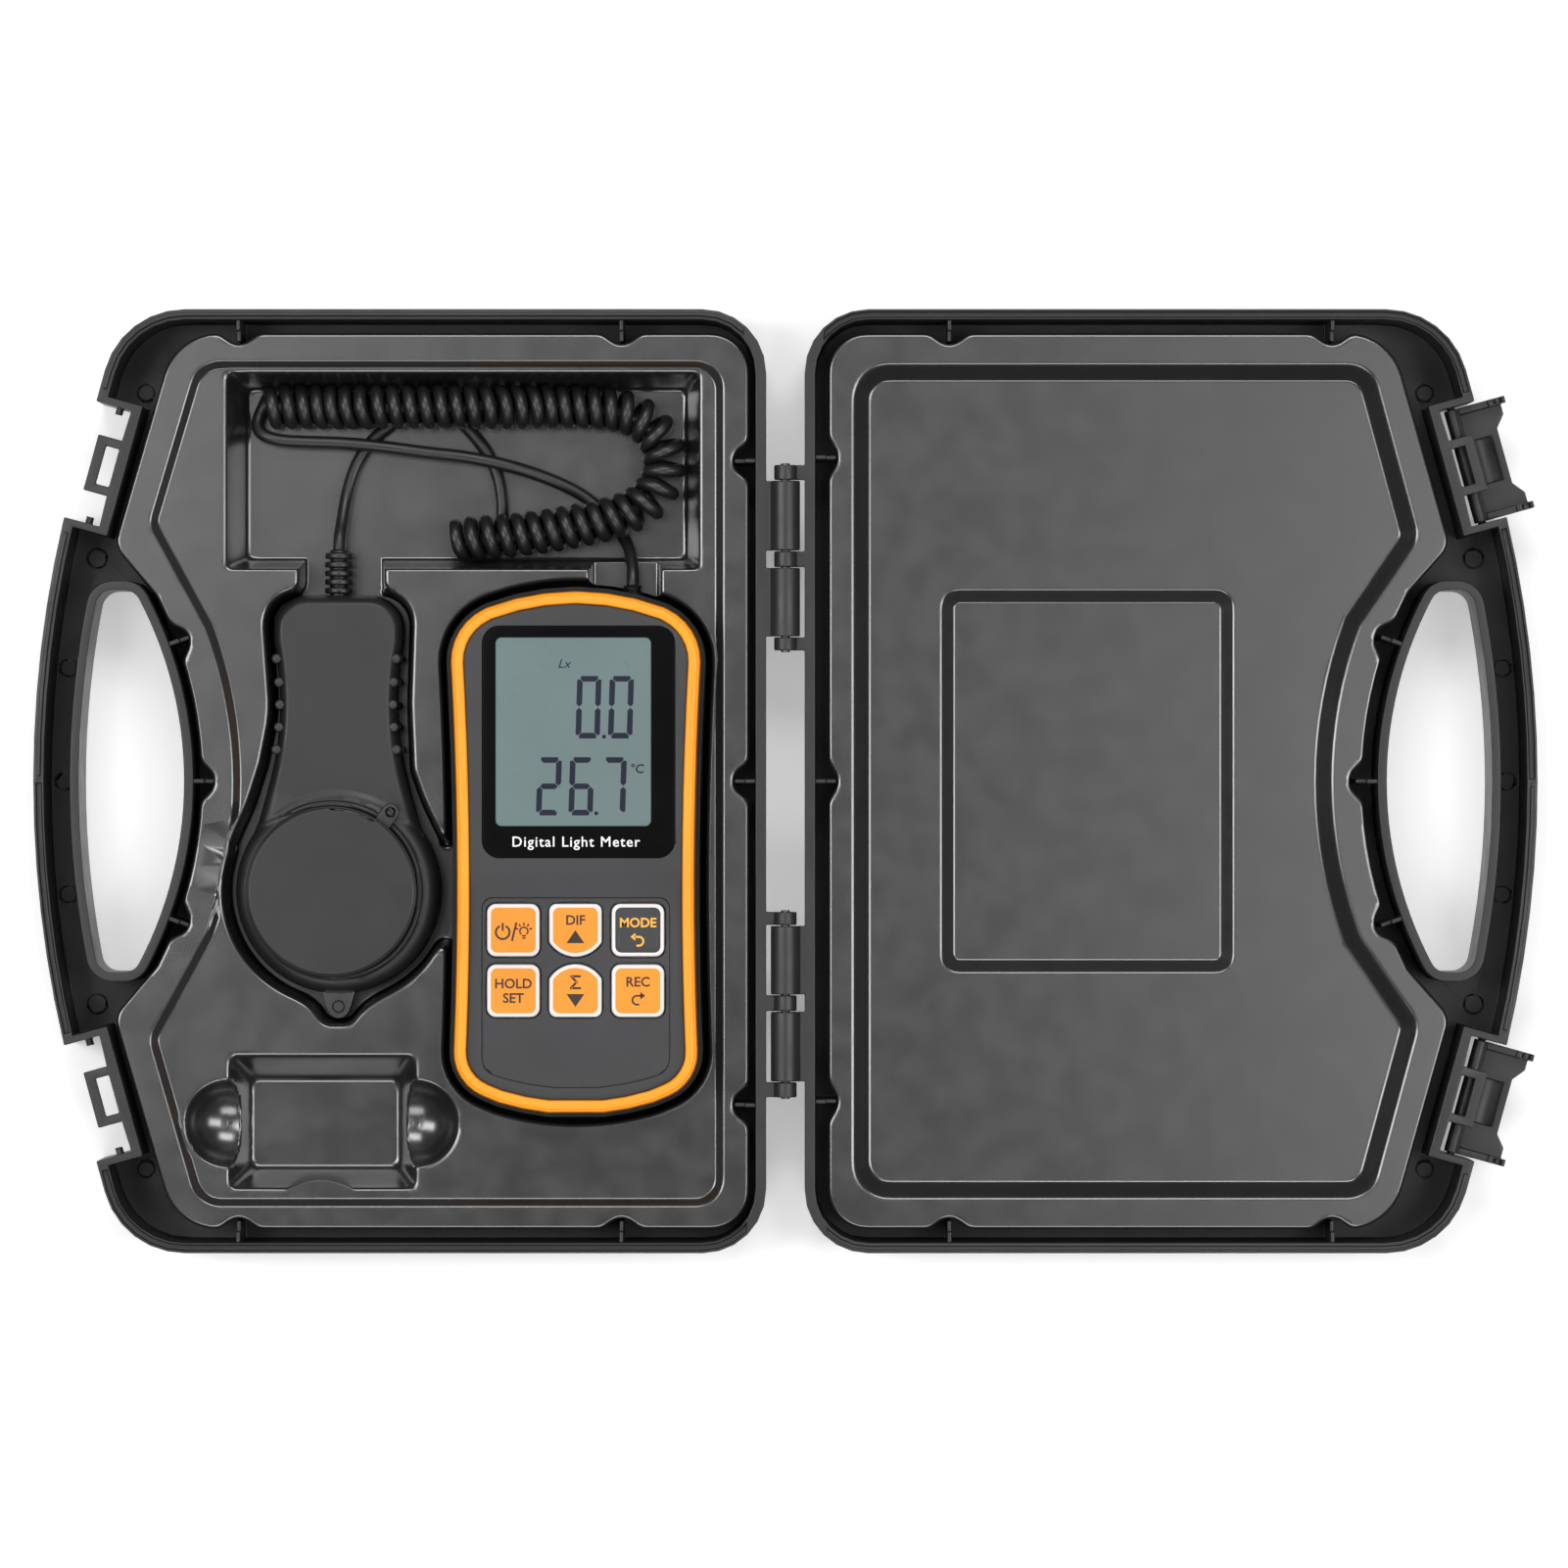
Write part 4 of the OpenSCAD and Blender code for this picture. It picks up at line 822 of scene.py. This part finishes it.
SEAT_H = 1                      # the cap's seat ring stands this much higher
SENSOR_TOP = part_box("sensor_top_shell")[1].z / MM - SEAT_H
SENSOR_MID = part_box("sensor_top_shell")[0].z / MM
EYE_AT = SENSOR_AT + np.array([-1.5, 0])
PIN_Y = (66.2, 59.5, 53.1, 46.7, 40.3)
PIN_R = 1.45
NECK_WAIST, NECK_Y = 16.8, 53.3             # the neck's smallest half-width and where it is
FLARE_BELOW, FLARE_ABOVE = 170, 180
HEAD_R, DISC_R = 29.3, 27.0
SEAT_R, SEAT_INNER, EYE_R = 25.5, 24.5, 20.6


def neck_x(y):
    """Half-width of the neck at a height above the disc's centre."""
    return NECK_WAIST + (y - NECK_Y) ** 2 / (FLARE_BELOW if y < NECK_Y else FLARE_ABOVE)


neck_outline = rounded(left_and_right([(23.4, 17.6)] + [(neck_x(y), y) for y in range(29, 73, 3)]
    + [(18.6, 84.4, 9.7)])) + SENSOR_AT


def make_sensor_top():
    """The head's top shell: rounded sides, a step round the disc, the cap's seat and the eye's opening."""
    head = either([circle_depth(SENSOR_AT, HEAD_R), polygon_depth(neck_outline)], 1.5)
    top, high = SENSOR_TOP, SENSOR_TOP + SEAT_H
    box = ((-160, -64), (-95, 56))
    side = [(0.0, SENSOR_MID), (0.2, top - 5.5), (0.6, top - 3.6), (1.2, top - 2.1), (1.9, top - 1.1),
        (2.8, top - 0.45), (3.8, top - 0.1), (4.8, high)]
    step = [(0.0, top), (0.7, top - 0.12), (1.4, top - 0.45), (2.1, top - 0.6)]
    seat = [(0.0, high), (0.1, high - 0.1), (0.22, top + 0.4), (0.4, top)]
    inside = [(0.0, high), (0.1, high - 0.1), (0.2, top)]
    opening = [(0.0, top), (0.15, top - 0.3), (0.3, top - 4.5)]
    features = [(outside(circle_depth(SENSOR_AT, DISC_R)), step, box, 0.5),
        (outside(circle_depth(EYE_AT, SEAT_R)), seat, box, 0.5),
        (circle_depth(EYE_AT, SEAT_INNER), inside, box, 0.5),
        (circle_depth(EYE_AT, EYE_R), opening, box, 0.5)]
    piece = relief_piece("sensor_top_finish", "instrument", "sensor_grey", features, head, side, box,
        thickness=1.2)
    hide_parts("sensor_top_shell")


def make_sensor_details():
    """The grip pins beside the neck and the tab with its eyelet below the disc."""
    top = SENSOR_TOP - 0.7
    dome = [(PIN_R, SENSOR_MID - 8)] + [(PIN_R * math.cos(a), top - 0.7 + 0.7 * math.sin(a))
        for a in np.linspace(0, math.pi / 2 - 0.05, 7)]
    for k, y in enumerate(PIN_Y):
        for side, label in ((-1, "left"), (1, "right")):
            at = (SENSOR_AT[0] + side * (neck_x(y) - 0.75) - 0.4, SENSOR_AT[1] + y)
            lathe(f"sensor_pin_{label}_{k + 1}", "instrument", "sensor_grey", dome, at)
    tab_at = (SENSOR_AT[0], SENSOR_AT[1] - 33)
    outline = [(tab_at[0] + x, tab_at[1] + y) for x, y in arc(0, 3.4, 190, 350, 16)]
    outline += [(SENSOR_AT[0] + 4.9, SENSOR_AT[1] - 28), (SENSOR_AT[0] - 4.9, SENSOR_AT[1] - 28)]
    tab_top = SENSOR_MID + 2.5
    prism("sensor_tab", "instrument", "tray_charcoal", [outline], SENSOR_MID - 0.5, tab_top,
        soft=0.3)
    ring = [(1.35, tab_top - 0.1), (1.4, tab_top + 0.12), (1.85, tab_top + 0.12), (1.95, tab_top - 0.1)]
    lathe("sensor_tab_ring", "instrument", "rear_black", ring, tab_at)


make_sensor_top()


# ---- Hard mouldings: the CAD shapes with broken edges ----

EDGES = {
    "base_shell": 0.35, "lid_shell": 0.35, "latch_upper": 0.3, "latch_lower": 0.3,
    "rear_cover": 0.5, "bumper_band": 0.8, "battery_door": 0.2,
    "meter_gland": 0.4, "sensor_bottom_shell": 0.4,
    "sensor_strain_relief": 0.3, "sensor_cap": 0.35, "hinge_pin_upper": 0.2, "hinge_pin_lower": 0.2,
    "lcd_frame": 0.2, "lcd_backlight": 0.3, "main_board": 0.1, "board_chips": 0.15, "thermistor": 0.3,
    "buzzer": 0.3, "keypad_mat": 0.3, "zebra_strips": 0.15, "batteries": 0.5, "battery_contacts": 0.05,
    "case_screws": 0.15, "board_screws": 0.12, "colour_filter": 0.15, "photodiode": 0.15,
    "sensor_board": 0.1, "sensor_screws": 0.12, "diffuser": 0.3,
}
for node, width in EDGES.items():
    rounded_copy(node, BODY_OF[node], FINISH_OF[node], width)

SHOULDER_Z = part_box("bumper_band")[0].z


def is_skirt(face):
    """Whether a face of the front cover lies outside the orange band."""
    if face.normal.z > 0.9:
        return abs(face.calc_center_median().z - SHOULDER_Z) < 0.1 * MM
    return all(meter_depth(np.array([v.co[:2]]) / MM)[0] < -0.9 for v in face.verts)


rounded_copy("front_cover", "instrument", "housing_grey", 0.35, drop=is_skirt)
rounded_copy("front_cover", "instrument", "rear_black", 0.35, name="front_cover_skirt",
    drop=lambda face: not is_skirt(face))


make_sensor_details()


# ---- Strokes and lettering for the keys and the display ----

def strip(points, width):
    """The outline of a stroke of that width along the points."""
    line = np.array(points, float)
    way = np.gradient(line, axis=0)
    way /= np.linalg.norm(way, axis=1)[:, None]
    side = np.column_stack([-way[:, 1], way[:, 0]]) * width / 2
    return [tuple(p) for p in np.concatenate([line + side, (line - side)[::-1]])]


def circle_arc(centre, radius, first, last, steps=14):
    """Points on a circle about any centre."""
    return [(centre[0] + x, centre[1] + y) for x, y in arc(0, radius, first, last, steps)]


def lettering(name, body, finish, text, height, at, z, bold=0.0, slant=0.0, spacing=1.0):
    """Raised print of generic words, centred at a point, with capitals of that height in millimetres."""
    data = bpy.data.curves.new(name, "FONT")
    data.body = text
    data.size = height / 0.73 * MM
    data.align_x = "CENTER"
    data.align_y = "CENTER"
    data.shear = slant
    data.space_character = spacing
    data.offset = bold * height * MM
    data.extrude = 0.012 * MM
    data.resolution_u = 3
    source = bpy.data.objects.new(name + "_source", data)
    scene.collection.objects.link(source)
    source.location = (at[0] * MM, at[1] * MM, z * MM)
    bpy.context.view_layer.update()
    shape = bpy.data.meshes.new_from_object(source.evaluated_get(bpy.context.evaluated_depsgraph_get()))
    shape.transform(source.matrix_world)
    bpy.data.objects.remove(source)
    return put(bpy.data.objects.new(name, shape), body, finish)


# ---- Display ----

DISPLAY_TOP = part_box("display_window")[1].z / MM
LCD_BOX = (-82.1, -12.7, -38.1, 40.7)
LCD_W, LCD_H = LCD_BOX[2] - LCD_BOX[0], LCD_BOX[3] - LCD_BOX[1]
LCD_AT = ((LCD_BOX[0] + LCD_BOX[2]) / 2, (LCD_BOX[1] + LCD_BOX[3]) / 2)
WINDOW = box_outline(54.3, 65.4, 4.85, METER_AT[0] + 0.8, METER_AT[1] + 31.4, 8)
lcd_hole = box_outline(LCD_W, LCD_H, 1.6, *LCD_AT, 8)


def segments(at, width, height, lit, slant=0.03, bar=1.6, gap=0.13):
    """Outlines of one seven-segment figure whose lower left corner is at a point."""
    half, mid = bar / 2, height / 2
    left, right, low, high = half, width - half, half, height - half
    ends = {"a": ((left, high), (right, high)), "b": ((right, high), (right, mid)),
        "c": ((right, mid), (right, low)), "d": ((left, low), (right, low)),
        "e": ((left, low), (left, mid)), "f": ((left, mid), (left, high)), "g": ((left, mid), (right, mid))}
    out = []
    for key in lit:
        start, end = np.array(ends[key][0]), np.array(ends[key][1])
        way = (end - start) / np.linalg.norm(end - start)
        side = np.array([-way[1], way[0]]) * half
        start, end = start + way * gap, end - way * gap
        corners = [start, start + way * half + side, end - way * half + side, end,
            end - way * half - side, start + way * half - side]
        if key != "g":
            first, last = (5, 4) if key == "d" else (1, 2)      # the outer side's two corners
            reach = way * half * 0.75
            corners[first] = corners[first] - reach * (key in "abde")
            corners[last] = corners[last] + reach * (key in "acdf")
        out.append([(at[0] + c[0] + slant * c[1], at[1] + c[1]) for c in corners])
    return out


FIGURES = {"0": "abcdef", "2": "abged", "6": "acdefg", "7": "abc"}


def make_display():
    """The window's frame, the panel behind it, the figures on it and the caption below."""
    low = DISPLAY_TOP - 1.5
    ring_piece("window_frame", "instrument", "window_black", WINDOW, lcd_hole, low, DISPLAY_TOP)
    glass_top = DISPLAY_TOP - 0.35
    panel = box_outline(LCD_W + 3, LCD_H + 3, 1, *LCD_AT)
    glass = prism("lcd_glass_plate", "instrument", "lcd_glass", [panel], glass_top - 2.4, glass_top, soft=0.1)
    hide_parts("display_window")
    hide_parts("lcd_panel")
    marks = []
    for text, x, y, height in (("00", -59.5, 12.1, 17.7), ("267", -70.7, -9.7, 16.5)):
        for k, figure in enumerate(text):
            marks += segments((x + 9.2 * k, y), 6.9, height, FIGURES[figure])
    marks += [box_outline(1, 1, 0.2, x, y, 2) for x, y in ((-51.4, 12.6), (-53.6, -9.1))]
    prism("lcd_figures", "instrument", "segment_dark", marks, glass_top - 0.05, glass_top + 0.03)
    lettering("lcd_unit", "instrument", "segment_dark", "Lx", 2.6, (-62.8, 33.2), glass_top + 0.02,
        slant=0.3)
    lettering("lcd_degrees", "instrument", "segment_dark", "°C", 2.6, (-42.1, 3.4), glass_top + 0.02,
        bold=0.02, slant=0.1)
    lettering("window_caption", "instrument", "print_white", "Digital Light Meter", 3.0, (-59.4, -17.3),
        DISPLAY_TOP + 0.01, bold=0.01, spacing=1.14)


make_display()


# ---- Keys ----

KEYS = ["power", "dif", "mode", "hold", "sum", "rec"]
KEY_W = 15.0
KEY_ROUND = {"dif": -1, "sum": 1}


def key_outline(name, shrink):
    """Outline of a key about its own centre: square, or with one end rounded."""
    half = KEY_W / 2 - shrink
    bend = KEY_ROUND.get(name, 0)
    if not bend:
        return [tuple(p) for p in box_outline(2 * half, 2 * half, 2.5 - shrink * 0.6)]
    big = 8.8 - shrink
    side_angle = math.degrees(math.acos(half / big))
    dome = [(x, bend * (y - 1.2)) for x, y in arc(0, big, side_angle, 180 - side_angle, 24)]
    flat_end = [(-half, -bend * half, 2), (half, -bend * half, 2)]
    return [tuple(p) for p in rounded(flat_end + dome)]


def shifted(outline, at):
    """The outline moved to a place."""
    return [(x + at[0], y + at[1]) for x, y in outline]


def bulb(at):
    """Outlines of a small lamp sign."""
    x, y = at
    marks = [strip(circle_arc((x, y), 1.15, -50, 230), 0.46),
        strip([(x - 0.6, y - 1.3), (x + 0.6, y - 1.3)], 0.4),
        strip([(x - 0.45, y - 1.95), (x + 0.45, y - 1.95)], 0.4)]
    for a in (20, 55, 90, 125, 160):
        c, s = math.cos(math.radians(a)), math.sin(math.radians(a))
        marks.append(strip([(x + 1.65 * c, y + 1.65 * s), (x + 2.45 * c, y + 2.45 * s)], 0.42))
    return marks


def hook(at, side):
    """Outlines of a bent arrow, turning back to one side."""
    x, y = at
    path = [(-1.0, 1.0)] + circle_arc((0.3, -0.25), 1.25, 90, -90, 12) + [(-0.4, -1.5)]
    bend = [(x + side * px, y + py) for px, py in path]
    tip = [(x - side * 2.1, y + 1.0), (x - side * 0.7, y + 2.1), (x - side * 0.7, y - 0.1)]
    return [strip(bend, 0.55), tip]


def key_marks(name):
    """(outlines, words) printed on a key, about its centre: words are (text, height, x, y)."""
    up = [(-2.55, -3.7), (2.55, -3.7), (0, 0)]
    if name == "power":
        ring = strip(circle_arc((-3.0, -0.6), 1.95, 115, 425), 0.6)
        bar = strip([(-3.0, -0.2), (-3.0, 2.0)], 0.6)
        return [ring, bar, strip([(-0.4, -3.1), (0.9, 2.2)], 0.6)] + bulb((3.0, -0.3)), []
    if name == "dif":
        return [up], [("DIF", 2.8, 0, 2.7)]
    if name == "mode":
        return hook((0, -2.9), 1), [("MODE", 2.7, 0, 2.0)]
    if name == "hold":
        return [], [("HOLD", 2.8, 0, 1.9), ("SET", 2.8, 0, -2.2)]
    if name == "sum":
        return [[(x, -4.6 - y) for x, y in up]], [("Σ", 3.8, 0, 2.1)]
    return hook((0, -2.4), -1), [("REC", 2.8, 0, 2.4)]


def make_key(name):
    """A key's pale rim, its coloured face and the print on it."""
    node = "key_" + name
    low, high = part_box(node)
    at = ((low.x + high.x) / 2 / MM, (low.y + high.y) / 2 / MM)
    base, top = low.z / MM, high.z / MM
    if name in KEY_ROUND:
        at = (at[0], (high.y / MM - KEY_W / 2) if KEY_ROUND[name] < 0 else (low.y / MM + KEY_W / 2))
    dark = name == "mode"

    def layer(shrink):
        return [shifted(key_outline(name, shrink), at)]

    rim = prism(node + "_rim", node, "silicone_grey", layer(0.05), base, top - 0.15,
        soft=0.5)
    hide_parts(node)
    if dark:
        prism(node + "_ring", node, "key_dark", layer(1.0), base, top - 0.1, soft=0.2)
        prism(node + "_face", node, "key_dark", layer(1.9), base, top, soft=0.4)
    else:
        prism(node + "_face", node, "key_orange", layer(0.95), base, top, soft=0.5)
    ink = "print_orange" if dark else "print_dark"
    outlines, words = key_marks(name)
    if outlines:
        prism(node + "_sign", node, ink, [shifted(o, at) for o in outlines], top - 0.05, top + 0.02)
    for k, (text, height, x, y) in enumerate(words):
        lettering(f"{node}_word_{k + 1}", node, ink, text, height, (at[0] + x, at[1] + y), top + 0.012,
            bold=0.03)


for key in KEYS:
    make_key(key)


# ---- Floor and light ----

def make_floor():
    """A white floor under the case, lit a little from within."""
    data = bpy.data.meshes.new("floor")
    reach = 4.0
    data.from_pydata([(-reach, -reach, 0), (reach, -reach, 0), (reach, reach, 0), (-reach, reach, 0)], [],
        [(0, 1, 2, 3)])
    floor = bpy.data.objects.new("floor", data)
    material, tree, shader = principled("floor")
    fine = ramp(tree, noise(tree, 0.4), 0, 1)
    tree.links.new(tones(tree, fine, (0.86, 0.86, 0.86), (0.9, 0.9, 0.9)), shader.inputs["Base Color"])
    shader.inputs["Roughness"].default_value = 0.9
    shader.inputs["Emission Color"].default_value = (1, 1, 1, 1)
    shader.inputs["Emission Strength"].default_value = 0.3
    data.materials.append(material)
    floor.location.z = -0.0002
    scene.collection.objects.link(floor)


def soft_light(name, place, size, power, aim=(0, 0, 0)):
    """A rectangular light in watts that faces a point."""
    data = bpy.data.lights.new(name, "AREA")
    data.shape = "RECTANGLE"
    data.size, data.size_y = size
    data.energy = power
    light = bpy.data.objects.new(name, data)
    light.location = place
    light.rotation_euler = (Vector(place) - Vector(aim)).to_track_quat("Z", "Y").to_euler()
    scene.collection.objects.link(light)


make_floor()
world = bpy.data.worlds.new("studio")
world.use_nodes = True
world.node_tree.nodes["Background"].inputs["Color"].default_value = (1, 1, 1, 1)
world.node_tree.nodes["Background"].inputs["Strength"].default_value = 0.08
scene.world = world
soft_light("top_left_box", (-0.75, 0.4, 3.3), (0.8, 1.0), 3.8)
soft_light("top_right_box", (1.0, 0.1, 3.3), (1.0, 1.6), 6.5)
soft_light("left_box", (-1.15, 0.15, 1.6), (0.6, 1.3), 17)
soft_light("right_box", (1.15, -0.15, 1.6), (0.6, 1.3), 14)
soft_light("far_box", (0.1, 1.15, 1.6), (1.3, 0.6), 17)
soft_light("near_box", (-0.1, -1.15, 1.6), (1.3, 0.6), 11)
scene.view_settings.view_transform = "Standard"
